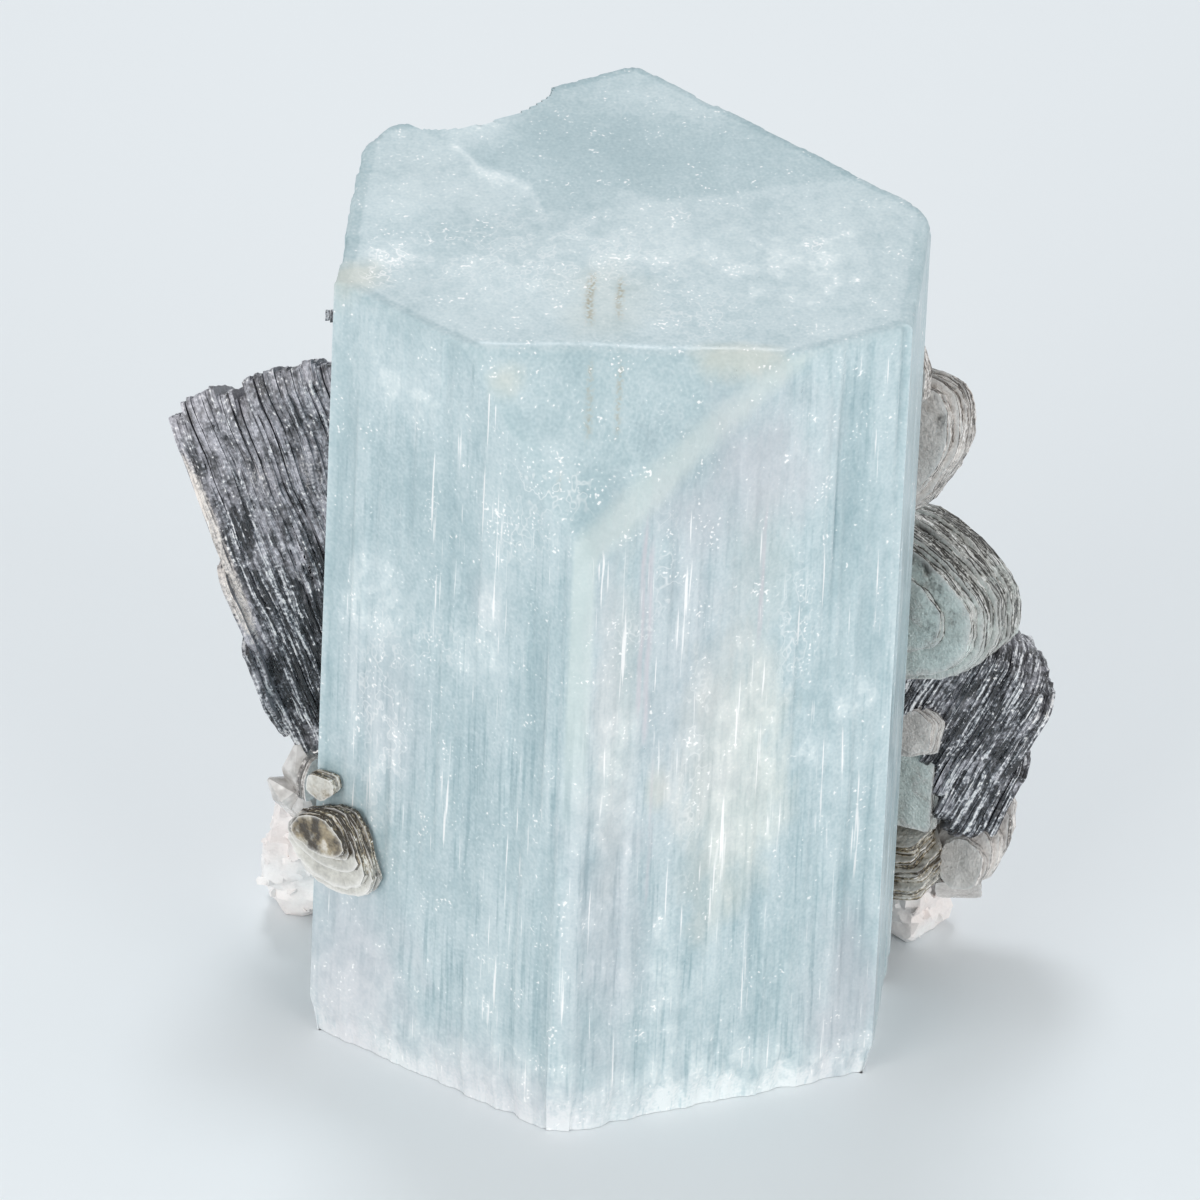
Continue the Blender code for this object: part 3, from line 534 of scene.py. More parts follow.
# Iron stains: on the top these run from front to back, and on the facet upwards.
RUST_LINES = (
    (TOP, -2.7, -11.2, -4.2, 0.34, 0.9),
    (TOP, -0.35, -10.4, -4.6, 0.30, 0.8),
    (TOP, 6.2, -3.6, -2.4, 0.3, 0.5),
)
FACET_RUST = (
    (-2.5, 62.4, 68.4, 0.26, 0.55),
    (-0.1, 62.6, 68.4, 0.22, 0.5),
    (-4.4, 58.6, 60.6, 0.2, 0.3),
)
# Where white flecks are painted as glints; some of them stand for white inclusions.
GLINTS = (
    (TOP, -18.1, -3.4, (1.5, 1.7, 3.0), 0.9, 1.0),
    (TOP, -19.2, -5.9, (1.3, 1.2, 3.0), 0.9, 1.0),
    (TOP, -14.7, -1.4, (2.0, 0.7, 3.0), 0.9, 0.8),
    (TOP, 14.7, -0.2, (0.9, 0.9, 3.0), 0.9, 0.9),
    (TOP, 4.0, 2.8, (1.2, 0.9, 3.0), 0.9, 0.8),
    (TOP, -6.0, -3.0, (9.0, 4.0, 3.0), 1.2, 0.4),
    (TOP, 6.0, -9.0, (4.0, 2.4, 3.0), 1.2, 0.4),
    (FRONT_LEFT, -5.4, 59.0, (3.4, 3.0, 1.5), 1.0, 0.7),
    (FRONT_LEFT, -7.8, 54.4, (2.4, 3.0, 2.4), 1.0, 0.5),
    (FRONT_LEFT, -17.6, 33.0, (2.0, 3.0, 8.0), 1.0, 0.6),
    (FRONT_LEFT, -13.8, 41.0, (2.4, 3.0, 2.0), 1.0, 0.5),
    (FRONT_RIGHT, 4.3, 52.0, (1.0, 3.0, 4.0), 1.0, 0.6),
    (FRONT_RIGHT, 2.2, 46.6, (1.8, 3.0, 1.2), 1.0, 0.5),
    (FRONT_RIGHT, 7.2, 33.0, (0.9, 3.0, 9.0), 1.0, 0.5),
    (FRONT_RIGHT, 14.6, 44.0, (1.4, 3.0, 5.0), 1.0, 0.6),
)


def patched(points, patches, wobble):
    """The strongest of these patches at each point."""
    total = np.zeros(len(points))
    for face, first, second, size, softness, amount in patches:
        centre = on_top(first, second) if face == TOP else on_face(face, first, second)
        reach = np.linalg.norm((points - centre) / size, axis=1) + PATCH_WANDER * wobble
        total = np.maximum(total, amount * np.clip((1.0 - reach) / softness + 0.5, 0.0, 1.0))
    return total


def line_profile(x, along, line, wobble, end_fade):
    """How much of an upright line shows at each point: x, from, up to, half width, amount."""
    middle, low, high, width, amount = line
    side = np.exp(-(((x - middle + LINE_SWAY * wobble) / width) ** 2))
    ends = np.clip((along - low) / end_fade, 0.0, 1.0) * np.clip((high - along) / end_fade, 0.0, 1.0)
    return amount * side * ends


def ruled(points, lines, wobble):
    """Thin lines that run up a face, or from front to back on the top."""
    x, y, z = points.T
    total = np.zeros(len(points))
    for face, *line in lines:
        if face == TOP:
            along, on_it = y, z > 66.0
        else:
            along, on_it = z, points @ (*FACE_NORMALS[face], 0.0) > FACE_DISTANCES[face] - 1.0
        total = np.maximum(total, line_profile(x, along, line, wobble, 1.5) * on_it)
    return total


def paint(points, looks):
    """Adds the patches to the looks of these points, which are in mm."""
    x, y, z = points.T
    wobble = wander(x + z * 0.37, y - z * 0.61, 2.6, 8.0)
    wobble += 0.5 * wander(x + z * 0.9, y + z, 0.9, 9.0)
    milk = patched(points, MILKY, wobble) - patched(points, CLEAR, wobble)
    over_edge = y + 0.4 * wobble - np.interp(x, *zip(*TEAL_EDGE))
    topmost = np.clip((z - top_surface(x, y)[0] + 0.6) / 0.3, 0.0, 1.0) * (1.0 - looks["facet"])
    milk -= TEAL_CLEARER * np.clip(over_edge / 0.7 + 0.5, 0.0, 1.0) * topmost
    along = np.clip((x - FEATHER[0]) / 2.0, 0.0, 1.0) * np.clip((FEATHER[1] - x) / 0.8, 0.0, 1.0)
    fade = np.clip(1.0 + over_edge / FEATHER_DEPTH, 0.0, 1.0) ** 2 * np.clip(0.5 - over_edge / 0.5, 0.0, 1.0)
    milk += FEATHER_MILK * along * fade * topmost
    milk += FOOT_MILK * np.clip(1.0 + 0.3 * wobble - z / FOOT_MILK_TOP, 0.0, 1.0) ** 1.6
    facet_rust = np.zeros(len(points))
    for line in FACET_RUST:
        facet_rust = np.maximum(facet_rust, line_profile(x, z, line, wobble, 1.0) * (looks["facet"] > 0.3))
    looks["milk"] = milk
    looks["cream"] = patched(points, CREAM, wobble)
    looks["pink"] = np.maximum(patched(points, PINK, wobble) * PINK_SHARE, ruled(points, PINK_LINES, wobble))
    looks["rust"] = np.maximum(ruled(points, RUST_LINES, wobble), facet_rust)
    looks["glint"] = patched(points, GLINTS, wobble)


# %% The wall and the top as one closed mesh
FOOT_ROWS = np.array([0.0, 0.25, 0.55, 0.9, 1.3, 1.75, 2.25, 2.8, 3.4, 4.1, 5.0])
WALL_ROWS = 44
RIM = 0.28  # mm of height that the rounded rim takes
RIM_INSET = 0.10
MATT_SHADED_RIM = 0.6  # mm of wall under the rim that is made matt and painted a little darker, a painted shade over the rim's highlight
RING_INSETS = np.concatenate([np.linspace(0.012, 0.18, 14), np.linspace(0.2, 0.94, 38)])
TOP_MIDDLE = np.array([0.0, 2.0])
BAND_FOOT = 26.0  # mm up the front edge, below which its pale bevel is no longer told apart
BAND_RISE = 12.0
GROOVE_FULL = 0.3  # mm deep, where a stria looks fully like a groove
FOOT_FULL = 0.7  # mm pushed in, where the foot looks fully broken


def foot_inset(heights):
    """The broken foot: the wall steps in by lumps and splinters below a line that wanders."""
    inset = np.zeros_like(heights)
    for index, place in enumerate(column_place):
        lump = 0.5 + 0.5 * noise.noise((place[0] * 0.55, place[1] * 0.55, 0.0))
        splinter = 0.5 + 0.5 * noise.noise((place[0] * 1.9, place[1] * 1.9, 4.0))
        line = 0.8 + 3.0 * lump + 0.8 * splinter
        below = np.clip((line - heights[index]) / line, 0.0, 1.0)
        inset[index] = (0.20 + 0.75 * lump) * below**0.8 + 0.15 * splinter * np.minimum(below * 4.0, 1.0)
    return inset


def beryl_grid():
    """Rows of points from the foot to the rim, then rings across the top, with an attribute for each."""
    x, y = column_place.T
    rim_height, _, _, show_notch = top_surface(x, y)
    climb = np.linspace(0.0, 1.0, WALL_ROWS + 1)[1:]
    rows = [np.full_like(x, height) for height in FOOT_ROWS]
    rows += [FOOT_ROWS[-1] + (rim_height - RIM - FOOT_ROWS[-1]) * part for part in climb]
    heights = np.array(rows).T
    near_notch = show_notch[:, None] * np.clip(1.5 - (rim_height[:, None] - heights) / 4.0, 0.0, 1.0)
    depth = stria_depth(heights) * edge_fade()[:, None] * (1.0 - near_notch)
    foot = foot_inset(heights)
    push = depth + foot
    wall = column_place[:, None, :] + column_inward[:, None, :] * push[:, :, None]
    points = [np.dstack([wall[:, :, 0], wall[:, :, 1], heights])]
    on_bevel = (column_face == BEVEL)[:, None]
    parts = {
        "groove": [depth / GROOVE_FULL],
        "foot": [np.clip(foot / FOOT_FULL, 0.0, 1.0)],
        "band": [on_bevel * np.clip((heights - BAND_FOOT) / BAND_RISE, 0.0, 1.0)],
        "facet": [np.zeros_like(heights)],
        "worn": [np.clip(1.0 - (rim_height[:, None] - heights) / MATT_SHADED_RIM, 0.0, 1.0)],
        "wall": [np.ones_like(heights)],
    }
    rim = column_place + column_inward * (push[:, -1] + RIM_INSET)[:, None]
    across = TOP_MIDDLE - rim
    for inset in np.concatenate([[0.004], RING_INSETS]):
        ring = rim + across * inset
        height, show_facet, show_band, _ = top_surface(ring[:, 0], ring[:, 1])
        height = height - 0.06 * (inset < 0.01)
        points.append(np.dstack([ring[:, :1], ring[:, 1:], height[:, None]]))
        # Where the crease and the rim round over, the surface is made matt and painted a little darker, a
        # painted shade.
        crease = 4.0 * show_facet * (1.0 - show_facet)
        worn = np.maximum(crease, float(inset < 0.04))
        for name, part in parts.items():
            shown = {"band": show_band, "facet": show_facet, "worn": worn}.get(name, np.zeros_like(height))
            part.append(shown[:, None])
    points = np.concatenate(points, axis=1)
    looks = {name: np.concatenate(part, axis=1).ravel() for name, part in parts.items()}
    paint(points.reshape(-1, 3), looks)
    return points, looks


def closed_grid(name, points, looks):
    """A mesh from columns of points that run from the foot's edge to the ring round the top's middle."""
    columns, rows = points.shape[:2]
    number = np.arange(columns * rows).reshape(columns, rows)
    after = np.roll(number, -1, axis=0)
    quads = np.stack([number[:, :-1], after[:, :-1], after[:, 1:], number[:, 1:]], axis=-1)
    top, foot = columns * rows, columns * rows + 1
    faces = [tuple(quad) for quad in quads.reshape(-1, 4).tolist()]
    faces += [(int(number[i, -1]), int(after[i, -1]), top) for i in range(columns)]
    faces += [(int(after[i, 0]), int(number[i, 0]), foot) for i in range(columns)]
    middles = [points[:, -1].mean(axis=0), [0.0, 0.0, 0.0]]
    mesh = bpy.data.meshes.new(name)
    mesh.from_pydata((np.vstack([points.reshape(-1, 3), middles]) * MM).tolist(), [], faces)
    for look, values in looks.items():
        attribute = mesh.attributes.new(look, "FLOAT", "POINT")
        middle = values.reshape(columns, rows)[:, -1].mean()
        attribute.data.foreach_set("value", np.append(values, [middle, 0.0]).astype(np.float32))
    mesh.update()
    mesh.shade_smooth()
    mesh.set_sharp_from_angle(angle=math.radians(52.0))
    return mesh


beryl_mesh = closed_grid("beryl_prism", *beryl_grid())
beryl = bpy.data.objects.new("beryl_prism", beryl_mesh)
bpy.context.scene.collection.objects.link(beryl)
print(len(beryl_mesh.polygons), "faces on the prism")

# %% [markdown]
# ## Muscovite books
# Muscovite splits into leaves far thinner than paper, and a crystal of it is a book of such leaves. A
# block with lines drawn on it never looks like that, because every leaf catches the light at its own
# edge. So each book is a stack of closed thin slabs. The stack follows a rule, so Geometry Nodes make
# it: a line of points runs through the book, each point carries the size of the leaf there, and one
# leaf is put on every point with a small turn and shift of its own. Real leaves are under 0.1 mm; here
# they are 0.2 to 0.3 mm apart, the thinnest that still shows.


# %% Leaf outlines, along and across the book in mm
def tapering_leaf(foot, tip, front=5.4, back=6.2):
    """A long leaf of the left book: narrow at the foot, its tip sloping down to the back."""
    middle = foot + (tip - foot) * 0.42
    return [
        (foot, -back * 0.45),
        (foot - 0.6, front * 0.3),
        (middle, front * 0.85),
        (tip - 1.8, front),
        (tip - 0.2, front * 0.8),
        (tip - 3.4, -back * 0.2),
        (tip - 8.5, -back),
        (middle, -back * 0.9),
    ]


def square_leaf(foot, tip, front=3.6, back=5.0):
    """A leaf of the dark book on the right: broken straight across at both ends."""
    return [
        (foot + 0.5, -back * 0.8),
        (foot, front * 0.6),
        (foot + 1.2, front),
        (tip - 1.0, front * 0.9),
        (tip, front * 0.2),
        (tip - 1.5, -back),
    ]


def hexagon(half_length, half_width, centre=(0.0, 0.0), rooted=0.0):
    """A six-sided leaf, longer by "rooted" on the side that grows from the crystal."""
    x, y = centre
    side = half_length * 0.55
    return [
        (x + half_length, y - rooted * 0.4),
        (x + side, y + half_width),
        (x - side, y + half_width),
        (x - half_length, y - rooted * 0.4),
        (x - side, y - half_width - rooted),
        (x + side, y - half_width - rooted),
    ]


def scaled(outline, size):
    return [(along * size, across * size) for along, across in outline]


BARREL = ((6.7, -1.6), (5.0, 2.4), (1.8, 6.2), (-2.2, 6.5))
BARREL += ((-5.0, 4.2), (-6.8, -1.0), (-5.6, -7.6), (5.4, -8.4))
KITE = ((5.4, 0.4), (4.8, 2.8), (3.2, 3.7), (0.4, 4.0), (-1.6, 3.4))
KITE += ((-4.9, 1.5), (-6.5, -0.4), (-5.4, -7.4), (4.2, -7.6))
# Steps through a book: the level where each starts, and the size of its leaves.
BARREL_STEPS = ((0.0, 0.5), (0.5, 0.86), (1.4, 0.96), (2.4, 0.92), (3.5, 1.02), (4.8, 0.97), (6.0, 1.0))
KITE_STEPS = ((0.0, 0.84), (0.9, 0.97), (2.0, 1.0), (3.2, 0.92))
# Steps of long leaves: the level where each starts, and where its leaves' foot and tip are.
LEFT_LEAVES = (
    (-1.2, 2.0, 12.5), (-0.6, 0.8, 20.0), (0.0, 0.0, 34.4), (1.4, -0.2, 35.6),
    (2.7, 0.2, 35.8), (4.1, 0.4, 35.2), (5.4, 0.8, 34.4), (6.4, 1.0, 36.0),
    (7.9, 1.4, 36.2), (9.3, 1.8, 35.8), (10.8, 2.0, 35.9), (12.4, 2.2, 35.4),
)
RIGHT_LOWER_LEAVES = (
    (-13.6, 9.5, 17.6), (-11.4, 8.5, 18.4), (-9.2, 8.0, 17.8), (-6.8, 6.5, 17.4), (-4.9, 4.4, 17.2),
    (-3.0, 2.0, 17.1), (-1.5, 0.2, 16.8), (0.0, -0.6, 16.0), (1.2, 0.0, 14.2), (2.4, 1.2, 8.0),
)
print("the left book has", len(LEFT_LEAVES), "steps")

# %% [markdown]
# Each book keeps the frame that its CAD solid has: an origin, the direction along its leaves and the
# direction through the stack. A book is a list of steps, each with the level where it starts and the
# outline of its leaves, up to its end. Its leaves stand "leaf" mm apart. "fan" is how many degrees they
# turn, "wave" how much they bend and "ragged" how torn they are. "rings" is how many rings of points a
# leaf's flat side has, and "round" how far its corners are rounded. "pale" lists where the book is
# frosted pale or, below zero, dark: a place and a size in the book's own mm, and an amount.

# %% The books
BOOKS = {
    "muscovite_book_left": {
        "frame": ((-24.0, 9.0, 18.0), (-0.342, 0.0, 0.940), (0.940, 0.0, 0.342)),
        "steps": [(start, tapering_leaf(foot, tip)) for start, foot, tip in LEFT_LEAVES],
        "end": 14.0, "leaf": 0.30, "rings": 0, "fan": 0.35, "wave": 0.45, "ragged": 0.30, "finish": "mica_dark",
        "pale": (
            ((34.0, 0.0, 6.0), (9.0, 30.0, 14.0), 0.50),
            ((23.0, 0.0, 5.2), (6.0, 30.0, 1.6), 0.35),
            ((22.0, 0.0, 9.2), (6.5, 30.0, 1.8), 0.40),
            ((21.0, 0.0, -0.1), (9.5, 30.0, 0.95), 1.30),
            ((9.0, 0.0, 5.5), (8.0, 30.0, 4.5), -0.30),
        ),
    },
    "muscovite_book_right_lower": {
        "frame": ((28.0, 11.0, 12.4), (0.407, 0.0, 0.914), (0.914, 0.0, -0.407)),
        "steps": [(start, square_leaf(foot, tip)) for start, foot, tip in RIGHT_LOWER_LEAVES],
        "end": 3.5, "leaf": 0.24, "rings": 0, "fan": 0.9, "wave": 0.6, "ragged": 0.4, "finish": "mica_dark",
        "pale": (
            ((9.0, 0.0, -12.0), (8.0, 30.0, 2.4), 0.35),
            ((2.0, 0.0, -3.0), (4.0, 30.0, 3.0), 0.15),
        ),
    },
    "muscovite_book_right_middle": {
        "frame": ((23.7, 6.2, 33.9), (0.06, 0.16, 0.985), (0.45, 0.87, -0.15)),
        "steps": [(level, scaled(BARREL, size)) for level, size in BARREL_STEPS],
        "end": 7.8, "leaf": 0.26, "rings": 4, "fan": 0.7, "wave": 0.35, "ragged": 0.3, "finish": "mica_green",
        "round": 1.2,
        "pale": (
            ((5.5, 2.0, 4.0), (2.6, 4.0, 7.0), -0.35),
            ((-3.0, 5.0, 1.0), (3.0, 2.0, 2.0), 0.45),
        ),
    },
    "muscovite_book_right_upper": {
        "frame": ((23.2, 7.2, 49.6), (0.05, 0.33, 0.94), (0.42, 0.80, -0.38)),
        "steps": [(level, scaled(KITE, size)) for level, size in KITE_STEPS],
        "end": 4.6, "leaf": 0.24, "rings": 4, "fan": 1.0, "wave": 0.4, "ragged": 0.3, "finish": "mica_silver",
        "round": 0.9,
        "pale": (
            ((5.5, 2.0, 2.0), (1.8, 5.0, 7.0), -0.45),
            ((-3.0, 3.0, 1.0), (3.0, 2.2, 4.0), 0.35),
        ),
    },
    "muscovite_leaf_right": {
        "frame": ((21.2, 7.1, 57.0), (0.10, -0.07, 0.99), (0.566, 0.825, 0.0)),
        "steps": [(-0.3, [(3.4, 1.9), (0.6, 3.6), (-2.0, 3.9), (-3.2, 2.2), (-2.8, -1.5), (1.2, -1.2)])],
        "end": 0.6, "leaf": 0.3, "rings": 4, "fan": 1.0, "wave": 0.15, "ragged": 0.15, "finish": "mica_silver",
        "round": 0.3,
        "pale": (((0.0, 0.0, 0.0), (9.0, 9.0, 9.0), 0.35),),
    },
    "muscovite_flake_right": {
        "frame": ((24.7, 6.5, 22.7), (0.1, 0.3, 0.95), (0.35, 0.86, -0.36)),
        "steps": [(0.0, hexagon(1.8, 1.6)), (0.5, hexagon(2.4, 2.1, (0.0, 0.0), 2.5))],
        "end": 1.3, "leaf": 0.22, "rings": 4, "fan": 3.0, "wave": 0.2, "ragged": 0.4, "finish": "mica_silver",
        "pale": (((0.0, 0.0, 0.0), (9.0, 9.0, 9.0), 0.55),),
    },
    "muscovite_plate_right": {
        "frame": ((24.8, 8.2, 16.2), (0.06, 0.1, 0.99), (0.30, 0.95, -0.10)),
        "steps": [
            (0.0, [(3.6, 1.7), (-3.5, 2.0), (-3.5, -6.4), (3.6, -6.4)]),
            (1.0, [(3.8, 2.0), (-3.7, 2.3), (-3.6, -6.8), (3.7, -6.8)]),
        ],
        "end": 3.2, "leaf": 0.25, "rings": 4, "fan": 0.8, "wave": 0.2, "ragged": 0.15, "finish": "mica_green",
    },
    "muscovite_steps_right": {
        "frame": ((25.2, 9.4, 7.9), (0.96, -0.25, 0.12), (-0.08, -0.28, 0.95)),
        "steps": [
            (0.0, hexagon(3.4, 3.6, (-0.4, 0.0))),
            (1.0, hexagon(3.2, 3.2, (-0.2, 0.5))),
            (2.1, hexagon(2.9, 3.0, (-0.5, 0.8))),
            (3.1, hexagon(2.7, 2.6, (-0.4, 1.2))),
        ],
        "end": 4.1, "leaf": 0.27, "rings": 4, "fan": 1.6, "wave": 0.3, "ragged": 0.3, "finish": "mica_brown",
    },
    "muscovite_rosette_right": {
        "frame": ((29.0, 7.9, 9.6), (0.25, 0.35, 0.90), (0.40, 0.80, -0.42)),
        "steps": [
            (0.0, hexagon(2.3, 2.0, (0.0, 0.2))),
            (0.7, hexagon(2.9, 2.6, (0.6, -0.2))),
            (1.5, hexagon(3.5, 3.1, (1.3, -0.5), 1.0)),
            (2.4, hexagon(4.3, 3.3, (2.4, -0.7), 2.0)),
            (3.3, hexagon(4.7, 3.1, (3.2, -0.8), 2.5)),
        ],
        "end": 4.4, "leaf": 0.27, "rings": 4, "fan": 2.0, "wave": 0.35, "ragged": 0.25, "finish": "mica_silver",
        "round": 1.8,
        "pale": (((0.0, 0.0, 0.0), (19.0, 19.0, 19.0), 0.62),),
    },
    "muscovite_tab_right": {
        "frame": ((29.3, 10.6, 5.0), (1.0, 0.0, 0.02), (0.05, 0.80, 0.60)),
        "steps": [(0.0, [(1.9, 0.9), (-1.8, 1.0), (-2.0, -2.4), (1.7, -2.2)])],
        "end": 1.1, "leaf": 0.27, "rings": 3, "fan": 1.0, "wave": 0.1, "ragged": 0.12, "finish": "mica_silver",
        "pale": (((2.4, 0.0, 0.5), (0.9, 9.0, 9.0), 0.8),),
    },
    "muscovite_rosette_front": {
        "frame": ((-20.6, -9.0, 19.3), (0.0, 0.0, 1.0), (-0.575, -0.818, 0.0)),
        "steps": [
            (-0.15, [(4.3, -1.8), (3.2, 2.6), (-0.6, 4.7), (-4.2, 1.9), (-3.4, -1.2), (-0.8, -4.4)]),
            (0.9, [(4.4, -1.6), (3.2, 2.8), (-0.2, 4.6), (-3.2, 1.8), (-2.6, -1.4), (-0.6, -4.2)]),
            (1.5, [(4.3, -1.0), (3.1, 3.0), (0.6, 4.3), (-1.2, 1.6), (-1.1, -1.8), (0.4, -3.6)]),
            (2.1, [(4.1, -0.4), (3.2, 2.8), (1.4, 3.5), (0.4, 1.3), (0.6, -1.6), (1.5, -2.6)]),
        ],
        "end": 2.8, "leaf": 0.3, "rings": 4, "fan": 3.0, "wave": 0.3, "ragged": 0.3, "finish": "mica_brown",
        "round": 1.4,
        "pale": (
            ((3.4, 0.0, 1.5), (3.4, 9.0, 9.0), -0.70),
            ((-3.0, 0.0, 1.5), (3.4, 9.0, 9.0), 0.75),
        ),
    },
    "muscovite_flake_front": {
        "frame": ((-22.0, -7.9, 24.1), (0.02, 0.0, 1.0), (-0.575, -0.818, 0.0)),
        "steps": [(-0.1, [(1.3, -1.1), (1.0, 1.2), (-0.6, 1.4), (-1.1, -0.2), (0.2, -1.5)])],
        "end": 0.9, "leaf": 0.25, "rings": 3, "fan": 2.0, "wave": 0.1, "ragged": 0.12, "finish": "mica_brown",
        "round": 0.4,
    },
    "muscovite_blade_left": {
        "frame": ((-23.9, 2.6, 17.6), (0.03, 0.0, 1.0), (-0.8, 0.6, 0.0)),
        "steps": [(0.0, [(2.0, 0.3), (0.4, -0.4), (-1.9, 0.0), (-1.5, 3.9), (1.4, 3.9)])],
        "end": 0.6, "leaf": 0.3, "rings": 3, "fan": 1.0, "wave": 0.1, "ragged": 0.12, "finish": "mica_silver",
        "pale": (((0.0, 0.0, 0.0), (9.0, 9.0, 9.0), 0.5),),
    },
    "muscovite_grain_left": {
        "frame": ((-22.2, 0.4, 62.6), (0.0, 0.0, 1.0), (-1.0, 0.0, 0.0)),
        "steps": [(0.0, hexagon(0.7, 0.7)), (0.8, hexagon(0.4, 0.5))],
        "end": 1.2, "leaf": 0.27, "rings": 3, "fan": 3.0, "wave": 0.1, "ragged": 0.15, "finish": "mica_dark",
    },
    "muscovite_book_back": {
        "frame": ((5.0, 30.0, 23.5), (0.25, 0.30, 0.92), (0.35, 0.85, -0.36)),
        "steps": [
            (-2.0, hexagon(4.6, 4.8)),
            (0.2, hexagon(5.2, 5.4, (0.3, 0.2))),
            (1.5, hexagon(4.9, 5.0, (0.1, -0.2))),
            (2.6, hexagon(4.0, 4.2, (-0.3, 0.1))),
        ],
        "end": 3.6, "leaf": 0.28, "rings": 4, "fan": 1.8, "wave": 0.35, "ragged": 0.35, "finish": "mica_silver",
    },
}
print(len(BOOKS), "books and single leaves of muscovite")


# %% One leaf as a closed slab
LEAF_STEP = 0.6  # mm between an outline's points
RING_PLACES = (0.93, 0.78, 0.55, 0.28)


def leaf_box(outline):
    """The middle and the size of an outline's box."""
    low, high = np.min(outline, axis=0), np.max(outline, axis=0)
    return (low + high) / 2.0, high - low


def rounded(outline, radius):
    """The outline with each corner turned through three points."""
    corners = np.array(outline)
    points = []
    for before, corner, after in zip(np.roll(corners, 1, axis=0), corners, np.roll(corners, -1, axis=0)):
        cuts = []
        for other in (before, after):
            length = np.linalg.norm(other - corner)
            cuts.append(corner + (other - corner) * min(radius / length, 0.42))
        points += [cuts[0], corner * 0.5 + (cuts[0] + cuts[1]) * 0.25, cuts[1]]
    return np.array(points)


def fine_outline(outline, radius):
    """The rounded outline with points at even steps, moved and scaled to a box one unit wide."""
    middle, size = leaf_box(outline)
    corners = rounded(outline, radius)
    points = []
    for start, end in zip(corners, np.roll(corners, -1, axis=0)):
        count = max(1, round(np.linalg.norm(end - start) / LEAF_STEP))
        points += [(start + (end - start) * step / count - middle) / size for step in range(count)]
    return points


def leaf_slab(name, outline, radius, ring_count, thickness):
    """Both sides are rings that shrink to the middle. "rim" is 1 on the outline and 0 in the middle.

    "side" is 1 on the leaf's edge and 0 on its two flat faces.
    """
    rim = fine_outline(outline, radius)
    layer = bmesh.new()
    attribute = layer.verts.layers.float.new("rim")
    side = layer.faces.layers.float.new("side")
    places = (1.0,) + RING_PLACES[:ring_count]
    sides = []
    for level in (-thickness / 2.0, thickness / 2.0):
        rings = []
        for place in places:
            ring = [layer.verts.new((point[0] * place, point[1] * place, level)) for point in rim]
            for vert in ring:
                vert[attribute] = place
            rings.append(ring)
        sides.append(rings)
    pairs = [(sides[0][0], sides[1][0])]
    for rings in (sides[0][::-1], sides[1]):
        pairs += [(first, second) for first, second in zip(rings, rings[1:])]
    for first, second in pairs:
        for index in range(len(rim)):
            after = (index + 1) % len(rim)
            face = layer.faces.new((first[index], first[after], second[after], second[index]))
            face[side] = float(second is sides[1][0])
    layer.faces.new(sides[0][-1][::-1])
    layer.faces.new(sides[1][-1])
    bmesh.ops.recalc_face_normals(layer, faces=layer.faces)
    mesh = bpy.data.meshes.new(name)
    layer.to_mesh(mesh)
    layer.free()
    return bpy.data.objects.new(name, mesh)


# %% [markdown]
# The tree reads the line of points, puts a leaf on each and gives it its turn, shift and size. Then it
# bends the whole stack with one smooth noise, as real leaves bend together, and frays every leaf's rim
# with a finer noise that is different from leaf to leaf. It also stores two attributes for the
# materials: where a point is in the book, in mm, and a random shade for its leaf.


# %% The Geometry Nodes tree of a book
PACKETS = 900.0  # noise scale per metre: leaves shift together in packets about 1 mm thick
BENDS = 110.0  # a book's bends are about 9 mm wide
TEARS = 700.0  # the lobes of a torn rim are about 1.4 mm wide
HALF = (0.5, 0.5, 0.5)


